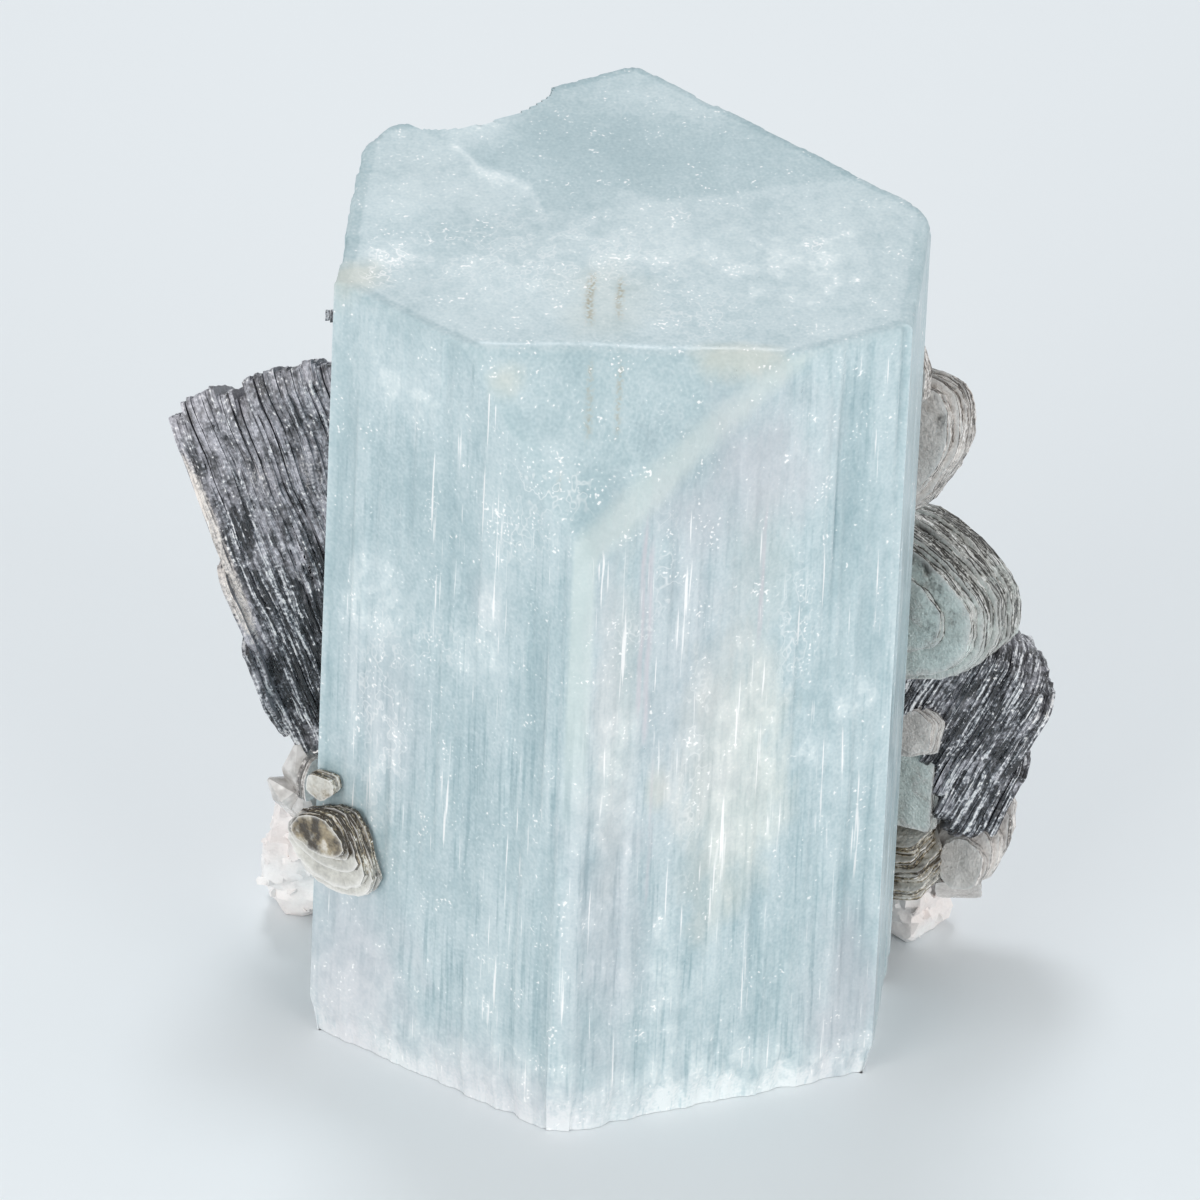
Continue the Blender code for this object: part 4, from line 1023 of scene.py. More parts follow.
def book_tree():
    untidy = {name: "Float" for name in ("Fan", "Shift", "Wave", "Ragged")}
    tree, given = new_tree("mica_book", {"Leaf": "Object", "Leaves": "Int", **untidy, "Seed": "Int"})
    kinds = {"middle": "FLOAT_VECTOR", "size": "FLOAT_VECTOR", "shade": "FLOAT", "rim": "FLOAT"}
    middle, size, own, rim = (
        add_node(tree, "GeometryNodeInputNamedAttribute", {"Name": name}, data_type=kind)
        for name, kind in kinds.items()
    )
    shift, turn = (
        add_node(
            tree, "FunctionNodeRandomValue",
            {"Min": low, "Max": high, "Seed": given["Seed"]},
            data_type="FLOAT_VECTOR",
        )
        for low, high in (((-1.0, -1.0, 0.0), (1.0, 1.0, 0.0)), ((-0.3, -1.0, -1.0), (0.3, 1.0, 1.0)))
    )

    line = add_node(tree, "GeometryNodeMeshToCurve", {"Mesh": given["Geometry"]})
    points = add_node(tree, "GeometryNodeResampleCurve", {"Curve": line, "Count": given["Leaves"]})
    level = add_node(tree, "GeometryNodeInputPosition")
    packet = add_node(tree, NOISE, {"Vector": level, "Scale": PACKETS, "Detail": 1.0}).outputs["Color"]
    packet_middle = add_node(tree, VECTOR_MATH, {0: packet, 1: HALF}, operation="SUBTRACT")
    both = {0: packet_middle, 1: (7.0, 5.0, 0.0), 2: shift}
    both_shifts = add_node(tree, VECTOR_MATH, both, operation="MULTIPLY_ADD")
    shifted = add_node(tree, VECTOR_MATH, {0: both_shifts, "Scale": given["Shift"]}, operation="SCALE")
    offset = add_node(tree, VECTOR_MATH, {0: middle, 1: shifted}, operation="ADD")
    placed = add_node(tree, "GeometryNodeSetPosition", {"Geometry": points, "Offset": offset})

    turned = add_node(tree, VECTOR_MATH, {0: turn, "Scale": given["Fan"]}, operation="SCALE")
    rotation = add_node(tree, "FunctionNodeEulerToRotation", {0: turned})
    leaf = add_node(tree, "GeometryNodeObjectInfo", {"Object": given["Leaf"]}).outputs["Geometry"]
    leaves = add_node(
        tree, "GeometryNodeInstanceOnPoints",
        {"Points": placed, "Instance": leaf, "Rotation": rotation, "Scale": size},
    )
    shade = add_node(tree, "FunctionNodeRandomValue", {"Seed": given["Seed"]}, data_type="FLOAT").outputs[1]
    shaded = add_node(
        tree, "GeometryNodeStoreNamedAttribute",
        {"Geometry": leaves, "Name": "shade", "Value": shade},
        data_type="FLOAT", domain="INSTANCE",
    )
    real = add_node(tree, "GeometryNodeRealizeInstances", {"Geometry": shaded})

    where = add_node(tree, "GeometryNodeInputPosition")
    bend = add_node(tree, NOISE, {"Vector": where, "Scale": BENDS, "Detail": 2.0, "Roughness": 0.45})
    bend_middle = add_node(tree, MATH, {0: bend, 1: 0.5}, operation="SUBTRACT")
    bend_size = add_node(tree, MATH, {0: bend_middle, 1: given["Wave"]}, operation="MULTIPLY")
    bent = add_node(tree, "ShaderNodeCombineXYZ", {"Z": bend_size})
    own_room = add_node(tree, MATH, {0: own, 1: 40.0}, operation="MULTIPLY")
    fray_inputs = {"Vector": where, "W": own_room, "Scale": TEARS, "Detail": 2.0}
    fray = add_node(tree, NOISE, fray_inputs, noise_dimensions="4D").outputs["Color"]
    fray_middle = add_node(tree, VECTOR_MATH, {0: fray, 1: HALF}, operation="SUBTRACT")
    fray_flat = add_node(tree, VECTOR_MATH, {0: fray_middle, 1: (1.0, 1.0, 0.1)}, operation="MULTIPLY")
    rim_power = add_node(tree, MATH, {0: rim, 1: 6.0}, operation="POWER")
    fray_size = add_node(tree, MATH, {0: rim_power, 1: given["Ragged"]}, operation="MULTIPLY")
    frayed = add_node(tree, VECTOR_MATH, {0: fray_flat, "Scale": fray_size}, operation="SCALE")
    moved = add_node(tree, VECTOR_MATH, {0: frayed, 1: bent}, operation="ADD")
    in_mm = add_node(tree, VECTOR_MATH, {0: where, "Scale": 1.0 / MM}, operation="SCALE")
    marked = add_node(
        tree, "GeometryNodeStoreNamedAttribute",
        {"Geometry": real, "Name": "book_mm", "Value": in_mm},
        data_type="FLOAT_VECTOR", domain="POINT",
    )
    uneven = add_node(tree, "GeometryNodeSetPosition", {"Geometry": marked, "Offset": moved})
    finished = {"Geometry": uneven, "Material": given["Material"]}
    add_node(tree, "NodeGroupOutput", {0: add_node(tree, "GeometryNodeSetMaterial", finished)})
    return tree


mica_book = book_tree()
print("a book's tree has", len(mica_book.nodes), "nodes")

# %% [markdown]
# A tree's inputs are set on the modifier by each socket's identifier, before the object is evaluated.
# The result becomes a plain mesh, is turned into the book's frame, and whatever reaches into the
# crystal is pressed flat against its nearest face, as a leaf that grew against it would be.


# %% Stack the leaves
LEAF_GAP = 0.18  # mm left between a leaf and the crystal
OVERLAP = 1.12  # a leaf's thickness over their spacing, so that a book is solid with a stepped edge
STEP_BREAK = 0.12  # of a step's height, in which the leaves pass to the next step's size
SHIFT_SHARE = 0.35  # how far a whole leaf shifts for each mm that a rim is torn
NOISE_REACH = 2.6  # noise seldom leaves its middle third, so it is made larger to move a point by 1 mm


def plain_result(obj, name):
    """The evaluated object as a new plain object, in place of the old one."""
    bpy.context.scene.collection.objects.link(obj)
    bpy.context.view_layer.update()
    graph = bpy.context.evaluated_depsgraph_get()
    mesh = bpy.data.meshes.new_from_object(obj.evaluated_get(graph), depsgraph=graph)
    mesh.name = name
    bpy.data.objects.remove(obj, do_unlink=True)
    result = bpy.data.objects.new(name, mesh)
    bpy.context.scene.collection.objects.link(result)
    return result


def set_inputs(modifier, tree, values):
    """Sets a Geometry Nodes modifier's inputs by name."""
    for item in tree.interface.items_tree:
        if item.in_out == "INPUT" and item.name in values:
            modifier[item.identifier] = values[item.name]


def keep_out_of_crystal(mesh):
    """Moves points that are inside the prism out to the nearest of its faces."""
    points = np.empty(len(mesh.vertices) * 3)
    mesh.vertices.foreach_get("co", points)
    points = points.reshape(-1, 3)
    outside = points[:, :2] / MM @ FACE_NORMALS.T - (FACE_DISTANCES + LEAF_GAP)
    nearest = outside.argmax(axis=1)
    short = np.minimum(outside.max(axis=1), 0.0)
    points[:, :2] -= FACE_NORMALS[nearest] * short[:, None] * MM
    mesh.vertices.foreach_set("co", points.ravel())
    mesh.update()


def book_line(name, book):
    """The line of points through the book, with the middle and the size of the leaf at each."""
    levels, middles, sizes = [], [], []
    ends = [start for start, outline in book["steps"][1:]] + [book["end"]]
    for (start, outline), end in zip(book["steps"], ends):
        middle, size = leaf_box(outline)
        for level in (start, end - STEP_BREAK * (end - start)):
            levels.append((0.0, 0.0, level * MM))
            middles.append((middle[0] * MM, middle[1] * MM, 0.0))
            sizes.append((size[0] * MM, size[1] * MM, 1.0))
    mesh = bpy.data.meshes.new(name + "_line")
    mesh.from_pydata(levels, [(index, index + 1) for index in range(len(levels) - 1)], [])
    for label, values in (("middle", middles), ("size", sizes)):
        mesh.attributes.new(label, "FLOAT_VECTOR", "POINT").data.foreach_set("vector", np.ravel(values))
    return bpy.data.objects.new(name + "_line", mesh)


def store_pale(mesh, patches):
    """Where a book is frosted pale, or below zero where it is dark, from ellipsoids in the book's own mm."""
    places = np.empty(len(mesh.vertices) * 3)
    mesh.attributes["book_mm"].data.foreach_get("vector", places)
    pale = np.zeros(len(mesh.vertices))
    for centre, size, amount in patches:
        reach = np.linalg.norm((places.reshape(-1, 3) - centre) / size, axis=1)
        pale += amount * np.clip(2.0 * (1.25 - reach), 0.0, 1.0)  # fades from 3/4 to 5/4 of its size
    mesh.attributes.new("pale", "FLOAT", "POINT").data.foreach_set("value", pale)


def stacked_book(name, book, material, seed):
    depth = book["end"] - book["steps"][0][0]
    count = max(2, round(depth / book["leaf"]))
    thickness = depth / count * OVERLAP * MM
    typical = book["steps"][len(book["steps"]) // 2][1]
    leaf = leaf_slab(name + "_one_leaf", typical, book.get("round", 0.5), book["rings"], thickness)
    leaf.data.materials.append(material)
    line = book_line(name, book)
    modifier = line.modifiers.new("book", "NODES")
    modifier.node_group = mica_book
    values = {
        "Leaf": leaf,
        "Leaves": count,
        "Fan": math.radians(book["fan"]),
        "Shift": book["ragged"] * SHIFT_SHARE * MM,
        "Wave": book["wave"] * NOISE_REACH * MM,
        "Ragged": book["ragged"] * NOISE_REACH * MM,
        "Seed": seed,
        "Material": material,
    }
    set_inputs(modifier, mica_book, values)
    piece = plain_result(line, name.replace("muscovite", "mica"))
    origin, along, through = (Vector(part) for part in book["frame"])
    along.normalize()
    through = (through - along * through.dot(along)).normalized()
    turn = Matrix((along, through.cross(along), through)).transposed().to_4x4()
    piece.data.transform(Matrix.Translation(origin * MM) @ turn)
    keep_out_of_crystal(piece.data)
    store_pale(piece.data, book.get("pale", ()))
    piece.data.shade_smooth()
    piece.data.set_sharp_from_angle(angle=math.radians(40.0))
    return piece


# %% [markdown]
# ## Mica, finished
# Muscovite is a sheet silicate. Its flat faces are pearly and half clear, and the torn edges of its
# leaves glitter, because every edge is a tiny mirror at its own angle. Iron makes it brown or grey, and
# seen edge-on a thick book looks nearly black with silver lines. All four finishes are one shader with
# other colours: a base that follows the leaf's own shade, streaks that run along the leaves, painted
# shade in the cracks between packets of leaves, a painted highlight on the rim of each leaf's face and
# glitter painted as bright flecks where a leaf is torn.

# %% The mica materials
# Each finish: its dark, middle and bright edges, its frosted face, how rough and how see-through it is,
# how strong its streaks are, how frosted it is all over, how much darker a leaf's flat face is than its
# frosted edge, and how bright the highlight painted on that face's rim is.
FINISHES = {
    "mica_dark": ("#1E1F23", "#6D7078", "#EEF0F3", "#B7B6BE", 0.28, 0.0, 3.4, 0.0, 0.34, 0.0),
    "mica_green": ("#26241D", "#C4C4BE", "#FFFFFE", "#DFECE9", 0.16, 0.20, 4.2, 0.0, 0.04, 0.85),
    "mica_brown": ("#3A2F1E", "#A39579", "#FBF8F1", "#DEDED8", 0.18, 0.12, 3.2, -0.02, 0.06, 0.85),
    "mica_silver": ("#3F3630", "#BBB2AA", "#FFFDFB", "#EDE8E4", 0.22, 0.12, 4.0, 0.0, 0.05, 0.85),
}
# Each pattern: its size in mm along, across and through the leaves, its detail and its roughness.
STREAK = ((6.0, 3.0, 0.24), 2.0, 0.7)
CRACK_SHADE_NOISE = ((10.0, 6.0, 0.9), 1.0, 0.5)
MOTTLE = ((1.9, 1.9, 1.5), 3.0, 0.65)
GRIT = ((0.34, 0.34, 0.30), 1.0, 0.7)
TORN_CREAM = "#EFE7E0"
# The white of the painted glitter and of the highlight painted on each face's rim.
PAINTED_GLINT_COLOUR = "#F6F5F3"


def mica_material(finish, values):
    dark, middle, bright, frosted, rough, clear, streaks, frosting, face_shade, rim_light = values
    material, tree, shader = new_material("muscovite, " + finish.split("_")[1] + ", cleaved")
    place, *others = (
        add_node(tree, "ShaderNodeAttribute", attribute_name=name)
        for name in ("book_mm", "shade", "rim", "side", "pale")
    )
    shade, rim, side, pale = (node.outputs["Fac"] for node in others)
    streak, crack, mottle, grit = (
        pattern(tree, place.outputs["Vector"], *look) for look in (STREAK, CRACK_SHADE_NOISE, MOTTLE, GRIT)
    )
    # The grit is stronger on the leaves' edges, where it also stands in for painted glitter.
    rough_side = summed(tree, 0.25, ((side, 0.75),))
    grit_and_glitter = add_node(tree, MATH, {0: grit, 1: rough_side}, operation="MULTIPLY")

    # Frost lies on the flat faces and in patches. Painted shade darkens the cracks that run between packets of
    # leaves.
    on_face = add_node(tree, MATH, {0: 1.0, 1: side}, operation="SUBTRACT")
    frost = summed(tree, frosting, ((pale, 1.5), (mottle, 4.2), (on_face, 1.0)), clamp=True)
    unfrosted = summed(tree, 1.0, ((frost, -0.75),))
    crack_middle = add_node(tree, MATH, {0: crack}, operation="ABSOLUTE")
    painted_crack_shade = summed(tree, 1.0, ((crack_middle, -11.0),), clamp=True)
    edge_crack_shade = add_node(tree, MATH, {0: painted_crack_shade, 1: side}, operation="MULTIPLY")

    # The edges: dark to bright with the streaks, each leaf's own shade and the grit, darkened by painted shade
    # in the cracks.
    streaky = add_node(tree, MATH, {0: streak, 1: unfrosted}, operation="MULTIPLY")
    leaf_shade = add_node(tree, MATH, {0: shade, 1: 0.5}, operation="SUBTRACT")
    leaf_share = add_node(tree, MATH, {0: unfrosted, 1: 0.3}, operation="MULTIPLY")
    darkened = add_node(tree, MATH, {0: pale, 1: 0.0}, operation="MINIMUM")
    layers = (streaky, streaks), (leaf_shade, leaf_share), (grit_and_glitter, 2.0), (darkened, 0.55), (mottle, 0.8)
    level = summed(tree, 0.44, (*layers, (edge_crack_shade, -0.42)))
    ramp = add_node(tree, RAMP, {"Fac": level})
    set_ramp(ramp, ((0.05, dark), (0.44, middle), (0.92, bright)))

    # The frost over them, darkened by painted shade in the cracks, then cream where a pale edge is torn, and
    # painted glitter and a painted highlight on each face's rim.
    layers = (mottle, 0.9), (grit_and_glitter, 1.5), (on_face, -face_shade), (edge_crack_shade, -0.55)
    frost_light = summed(tree, 0.96, layers)
    frost_inputs = {0: linear(frosted)[:3], "Scale": frost_light}
    frost_colour = add_node(tree, VECTOR_MATH, frost_inputs, operation="SCALE").outputs[0]
    frost_share = add_node(tree, MATH, {0: frost, 1: 0.85}, operation="MULTIPLY")
    pale_only = add_node(tree, MATH, {0: pale, 1: 0.75}, operation="SUBTRACT")
    torn = summed(tree, pale_only, ((grit_and_glitter, 1.5),))
    torn_side = add_node(tree, MATH, {0: side, 1: 1.3}, operation="MULTIPLY")
    cream = add_node(tree, MATH, {0: torn, 1: torn_side}, operation="MULTIPLY", use_clamp=True)
    # Painted glitter: white flecks where the grit is strong on a torn edge.
    painted_glitter = summed(tree, -0.2, ((side, 0.02), (streak, 0.6)))
    painted_glitter = add_node(tree, MATH, {0: grit_and_glitter, 1: painted_glitter}, operation="ADD")
    painted_glitter = add_node(tree, MATH, {0: painted_glitter, 1: 11.0}, operation="MULTIPLY", use_clamp=True)
    # Painted highlight: a bright line along the rim of each leaf's flat face.
    rim_power = add_node(tree, MATH, {0: rim, 1: 20.0}, operation="POWER")
    rim_highlight_share = add_node(tree, MATH, {0: on_face, 1: rim_light}, operation="MULTIPLY")
    outline = add_node(tree, MATH, {0: rim_power, 1: rim_highlight_share}, operation="MULTIPLY")
    painted_glints = add_node(tree, MATH, {0: painted_glitter, 1: outline}, operation="MAXIMUM")
    colour = ramp.outputs[0]
    covers = (frost_share, frost_colour), (cream, linear(TORN_CREAM)), (painted_glints, linear(PAINTED_GLINT_COLOUR))
    for share, cover in covers:
        inputs = {MIX_SHARE: share, MIX_FIRST: colour, MIX_SECOND: cover}
        colour = add_node(tree, MIX, inputs, data_type="RGBA").outputs[MIX_COLOUR]

    height = summed(tree, streak, ((grit, 0.5),))
    look = {
        "Base Color": colour,
        "Roughness": summed(tree, rough, ((mottle, 0.3), (frost, 0.22)), clamp=True),
        "Normal": add_node(tree, BUMP, {"Height": height, "Strength": 0.9, "Distance": 0.25 * MM}),
        "IOR": 1.58,  # muscovite's, 1.55 to 1.61
        "Transmission Weight": clear,
        "Specular IOR Level": 0.7,
    }
    plug(tree, shader, look)
    return material


mica_materials = {finish: mica_material(finish, values) for finish, values in FINISHES.items()}
for seed, (name, book) in enumerate(BOOKS.items()):
    finish = book["finish"]
    piece = stacked_book(name, book, mica_materials[finish], seed)
    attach(piece, "root")
    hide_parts(name)
    print(piece.name, len(piece.data.polygons), "faces")

# %% [markdown]
# ## Albite
# White albite closes round the crystal's foot. It cleaves in two directions nearly at right angles, so
# a broken mass of it is all little steps and corners, sugary where the grain is fine. The CAD solid has
# the big blocks. A copy of it is remeshed fine enough to carry 1 to 3 mm steps: space is divided into
# box-shaped cells, and each cell pushes its part of the surface in by its own amount. Thin blades of
# cleavelandite, albite's platy form, are then scattered on it by Geometry Nodes.

# %% Albite steps
ALBITE_VOXEL = 0.55  # mm
CLEAVAGE_CELLS = ((3.4, 0.34), (1.5, 0.22), (0.7, 0.10))  # cell size and most depth, in mm
CLEAVAGE_TILT = Euler((0.35, 0.22, 0.6)).to_matrix()


def merged_copy(name, new_name):
    """A CAD node's mesh with its loose triangles joined."""
    copy = bmesh.new()
    copy.from_mesh(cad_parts[name].data)
    bmesh.ops.remove_doubles(copy, verts=copy.verts, dist=0.001 * MM)
    mesh = bpy.data.meshes.new(new_name)
    copy.to_mesh(mesh)
    copy.free()
    return bpy.data.objects.new(new_name, mesh)


def remeshed(obj, size):
    modifier = obj.modifiers.new("remesh", "REMESH")
    modifier.mode = "VOXEL"
    modifier.voxel_size = size * MM
    return plain_result(obj, obj.name)


def cleave(mesh):
    """Pushes each cleavage cell in by its own depth, but leaves the flat underside flat."""
    normals = [vert.normal.copy() for vert in mesh.vertices]
    floor_level = min(vert.co.z for vert in mesh.vertices)
    for vert, normal in zip(mesh.vertices, normals):
        place = CLEAVAGE_TILT @ vert.co / MM
        depth = 0.0
        for layer, (size, most) in enumerate(CLEAVAGE_CELLS):
            cell = Vector((place.x / size, place.y / (size * 1.6), place.z / (size * 1.2)))
            depth += most * noise.cell(cell + Vector((layer * 9.0, 0.0, 0.0)))
        rise = min(1.0, (vert.co.z - floor_level) / (0.8 * MM))
        vert.co -= normal * depth * rise * MM
    mesh.update()


albite = remeshed(merged_copy("albite_matrix", "albite_mass"), ALBITE_VOXEL)
cleave(albite.data)
albite.data.shade_smooth()
albite.data.set_sharp_from_angle(angle=math.radians(30.0))
print("albite has", len(albite.data.polygons), "faces")


# %% Cleavelandite blades
MOST_BLADES = 2.0e6  # a square metre, before those too near each other go
BLADE_SIZES = {"Spacing": 1.7 * MM, "Smallest": 0.4, "Largest": 1.15, "Lean": 1.1, "Seed": 4}


def blade_tree():
    """Scatters blades over a surface, each standing on it at its own angle."""
    sizes = {name: "Float" for name in ("Spacing", "Smallest", "Largest", "Lean")}
    tree, given = new_tree("cleavelandite_blades", {"Blade": "Object", **sizes, "Seed": "Int"})
    normal = add_node(tree, "GeometryNodeInputNormal")
    facing = add_node(tree, "ShaderNodeSeparateXYZ", {0: normal}).outputs["Z"]
    upward = add_node(tree, "FunctionNodeCompare", {0: facing, 1: -0.35}, operation="GREATER_THAN")
    spots = add_node(
        tree, "GeometryNodeDistributePointsOnFaces",
        {
            "Mesh": given["Geometry"],
            "Selection": upward,
            "Distance Min": given["Spacing"],
            "Density Max": MOST_BLADES,
            "Seed": given["Seed"],
        },
        distribute_method="POISSON",
    ).outputs
    sized = {2: given["Smallest"], 3: given["Largest"], "Seed": given["Seed"]}
    size = add_node(tree, "FunctionNodeRandomValue", sized, data_type="FLOAT").outputs[1]
    leans = {"Min": (-1.0, -1.0, -3.0), "Max": (1.0, 1.0, 3.0)}
    lean = add_node(tree, "FunctionNodeRandomValue", leans, data_type="FLOAT_VECTOR")
    leaned = add_node(tree, VECTOR_MATH, {0: lean, "Scale": given["Lean"]}, operation="SCALE")
    own = add_node(tree, "FunctionNodeEulerToRotation", {0: leaned})
    both_turns = {0: spots["Rotation"], 1: own}
    turned = add_node(tree, "FunctionNodeRotateRotation", both_turns, rotation_space="LOCAL")
    blade = add_node(tree, "GeometryNodeObjectInfo", {"Object": given["Blade"]}).outputs["Geometry"]
    blades = add_node(
        tree, "GeometryNodeInstanceOnPoints",
        {"Points": spots["Points"], "Instance": blade, "Rotation": turned, "Scale": size},
    )
    joined = add_node(tree, "GeometryNodeJoinGeometry")
    for geometry in (blades.outputs[0], given["Geometry"]):
        tree.links.new(geometry, joined.inputs[0])
    real = add_node(tree, "GeometryNodeRealizeInstances", {"Geometry": joined})
    finished = {"Geometry": real, "Material": given["Material"]}
    add_node(tree, "NodeGroupOutput", {0: add_node(tree, "GeometryNodeSetMaterial", finished)})
    return tree


def blade_shape():
    """One blade, a chipped box 1 mm long that stands with its foot sunk in the surface."""
    outline = [(-0.32, -0.30), (0.30, -0.34), (0.38, 0.45), (0.10, 0.62), (-0.30, 0.50)]
    shape = bmesh.new()
    rings = []
    for y, size in ((-0.07, 1.0), (0.07, 0.94)):
        rings.append([shape.verts.new((x * size * MM, y * MM, z * size * MM)) for x, z in outline])
    shape.faces.new(rings[0])
    shape.faces.new(rings[1][::-1])
    for index in range(len(outline)):
        after = (index + 1) % len(outline)
        shape.faces.new((rings[0][after], rings[0][index], rings[1][index], rings[1][after]))
    bmesh.ops.recalc_face_normals(shape, faces=shape.faces)
    mesh = bpy.data.meshes.new("blade")
    shape.to_mesh(mesh)
    shape.free()
    return bpy.data.objects.new("blade", mesh)


# Sugary: the grain is about 0.5 mm, and the body blushes pink in patches of some 6 mm.
albite_white, tree, shader = new_material("albite, white, cleaved and sugary")
place_mm = object_mm(tree)
blush = add_node(tree, NOISE, {"Vector": place_mm, "Scale": 0.16, "Detail": 3.0})
sugar = add_node(tree, NOISE, {"Vector": place_mm, "Scale": 2.2, "Detail": 3.0, "Roughness": 0.7})
body = add_node(tree, RAMP, {"Fac": blush})
set_ramp(body, ((0.36, "#F6EEEB"), (0.58, "#FCFBFA")))
# Painted shade: where the sugary grain's bump is low, its colour is up to 6% darker.
hollow_shading = {"From Min": 0.30, "From Max": 0.52, "To Min": 0.94, "To Max": 1.0}
grain_hollow_shade = add_node(tree, RANGE, {"Value": sugar, **hollow_shading})
glossing = {"From Min": 0.35, "From Max": 0.65, "To Min": 0.30, "To Max": 0.62}
look = {
    "Base Color": add_node(tree, VECTOR_MATH, {0: body, "Scale": grain_hollow_shade}, operation="SCALE"),
    "Roughness": add_node(tree, RANGE, {"Value": sugar, **glossing}),
    "Normal": add_node(tree, BUMP, {"Height": sugar, "Strength": 0.7, "Distance": 0.12 * MM}),
    "IOR": 1.53,  # albite's
}
plug(tree, shader, look)

cleavelandite = blade_tree()
blade = blade_shape()
for mesh in (albite.data, blade.data):
    mesh.materials.append(albite_white)
modifier = albite.modifiers.new("blades", "NODES")
modifier.node_group = cleavelandite
set_inputs(modifier, cleavelandite, {"Blade": blade, **BLADE_SIZES, "Material": albite_white})
bpy.context.scene.collection.objects.unlink(albite)
albite = plain_result(albite, "albite_cleaved")
keep_out_of_crystal(albite.data)
for vert in albite.data.vertices:
    vert.co.z = max(vert.co.z, cad_box[0].z)  # no blade reaches below the flat foot
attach(albite, "root")
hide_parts("albite_matrix")
print("albite with blades has", len(albite.data.polygons), "faces")

# %% [markdown]
# ## Quartz
# Three small quartz crystals stand between the left book and the albite. Quartz ends in a point of
# unequal faces and its prism is ribbed crossways, so each one is a ring of six corners lofted through
# those ribs, with the tip off centre. It is clear, of refractive index 1.545, and clouded by a slightly
# smoky veil.

# %% Quartz crystals
# Each crystal: its foot, height and radius in mm, how many degrees it leans, and how far off its tip is.
QUARTZ_POINTS = (
    ((-23.6, 8.4, 12.2), 6.4, 1.6, (4.0, -12.0), (0.22, -0.30)),
    ((-23.6, 8.2, 11.6), 4.6, 1.4, (10.0, -44.0), (-0.30, 0.10)),
    ((-23.4, 7.6, 10.6), 4.8, 1.2, (26.0, -8.0), (0.10, 0.28)),
)
QUARTZ_TURN = 12.0
QUARTZ_SHOULDER = 0.62  # of the height, where the point starts
RIB = 0.05  # mm
RIBS = 9


def quartz_crystal(shape, foot, height, radius, lean, tip):
    turn = Matrix.Rotation(math.radians(lean[0]), 3, "X") @ Matrix.Rotation(math.radians(lean[1]), 3, "Y")
    levels = []
    for rib in range(RIBS):
        level = height * QUARTZ_SHOULDER * rib / RIBS
        levels += [(level, radius - RIB * (rib % 2) - 0.1 * rib / RIBS, 0.0)]
    levels += [(height * QUARTZ_SHOULDER, radius * 0.93, 0.0)]
    levels += [(height * 0.985, radius * 0.14, 1.0), (height, radius * 0.04, 1.0)]
    rings = []
    for level, size, tipped in levels:
        ring = []
        for index in range(6):
            angle = math.radians(60.0 * index + QUARTZ_TURN)
            uneven = size * (1.0 + 0.08 * (index % 2))
            x = math.cos(angle) * uneven + tip[0] * tipped
            y = math.sin(angle) * uneven + tip[1] * tipped
            corner = Vector((x, y, level))
            ring.append(shape.verts.new((turn @ corner + Vector(foot)) * MM))
        rings.append(ring)
    shape.faces.new(rings[0][::-1])
    shape.faces.new(rings[-1])
    for lower, upper in zip(rings, rings[1:]):
        for index in range(6):
            after = (index + 1) % 6
            shape.faces.new((lower[index], lower[after], upper[after], upper[index]))


cluster = bmesh.new()
for crystal in QUARTZ_POINTS:
    quartz_crystal(cluster, *crystal)
quartz_mesh = bpy.data.meshes.new("quartz_points")
cluster.to_mesh(quartz_mesh)
cluster.free()
keep_out_of_crystal(quartz_mesh)
quartz = bpy.data.objects.new("quartz_points", quartz_mesh)
bpy.context.scene.collection.objects.link(quartz)

smoky, tree, shader = new_material("quartz, smoky, as grown")
cloud = add_node(tree, NOISE, {"Vector": object_mm(tree), "Scale": 0.7, "Detail": 3.0})
hue = add_node(tree, RAMP, {"Fac": cloud})
set_ramp(hue, ((0.38, "#D3CFCB"), (0.62, "#F4F2F0")))
veiling = {"From Min": 0.35, "From Max": 0.65, "To Min": 0.50, "To Max": 0.25}
veil = add_node(tree, RANGE, {"Value": cloud, **veiling})
plug(tree, shader, {"Base Color": hue, "Transmission Weight": veil, "Roughness": 0.12, "IOR": 1.545})
quartz_mesh.materials.append(smoky)
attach(quartz, "root")
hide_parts("quartz_crystals_left")
print("quartz has", len(quartz_mesh.polygons), "faces")

# %% [markdown]
# ## Aquamarine
# Aquamarine is beryl: a hard, glassy mineral of refractive index 1.57 to 1.58, tinted by iron that
# absorbs red. This crystal is full of fine growth tubes and healed cracks that all run up the prism,
# and they scatter light, so it looks milky with clearer windows. The shader shows that in two ways.
# The clear share of it is real glass with an absorbing inside, so rays bend and take on the tint with
# depth. The milky share is a pale scattering colour. One number, the milkiness, drives both: it is the
# stored patches, plus clouds about 7 mm wide and ragged wisps of 2 mm, plus tubes that are stretched up
# the prism, with clear lines between them. Real growth tubes are under 0.1 mm wide; here they are 0.3
# and 0.9 mm, the finest that still show. Small white flecks, bright ends of tubes and healed cracks are
# painted on top of it all, partly white inclusions and partly painted glints. The rounded rim and creases
# are more matt and a little clearer, so darker, a painted shade that dims their highlight, and deep
# striae are a little clearer too, a painted shade in their grooves.

# %% The aquamarine material
aquamarine, tree, shader = new_material("aquamarine, milky beryl as grown")
place_mm = object_mm(tree)
# "wall" is 1 on the sides and 0 on top, "groove" 1 in a deep stria and "foot" 1 where the foot is broken.
stored = {
    name: add_node(tree, "ShaderNodeAttribute", attribute_name=name).outputs["Fac"]
    for name in ("milk", "cream", "pink", "rust", "glint", "groove", "foot", "band", "wall", "worn", "facet")
}
clouds = pattern(tree, place_mm, (6.5, 6.5, 8.0), 2.0, 0.6)
tubes = pattern(tree, place_mm, (0.9, 0.9, 20.0), 1.0, 0.6)
fine_tubes = pattern(tree, place_mm, (0.28, 0.28, 7.0), 1.0, 0.6)
wisps = pattern(tree, place_mm, (1.9, 1.9, 2.6), 2.0, 0.75)
grain = pattern(tree, place_mm, (0.24, 0.24, 0.24), 0.0, 0.5)

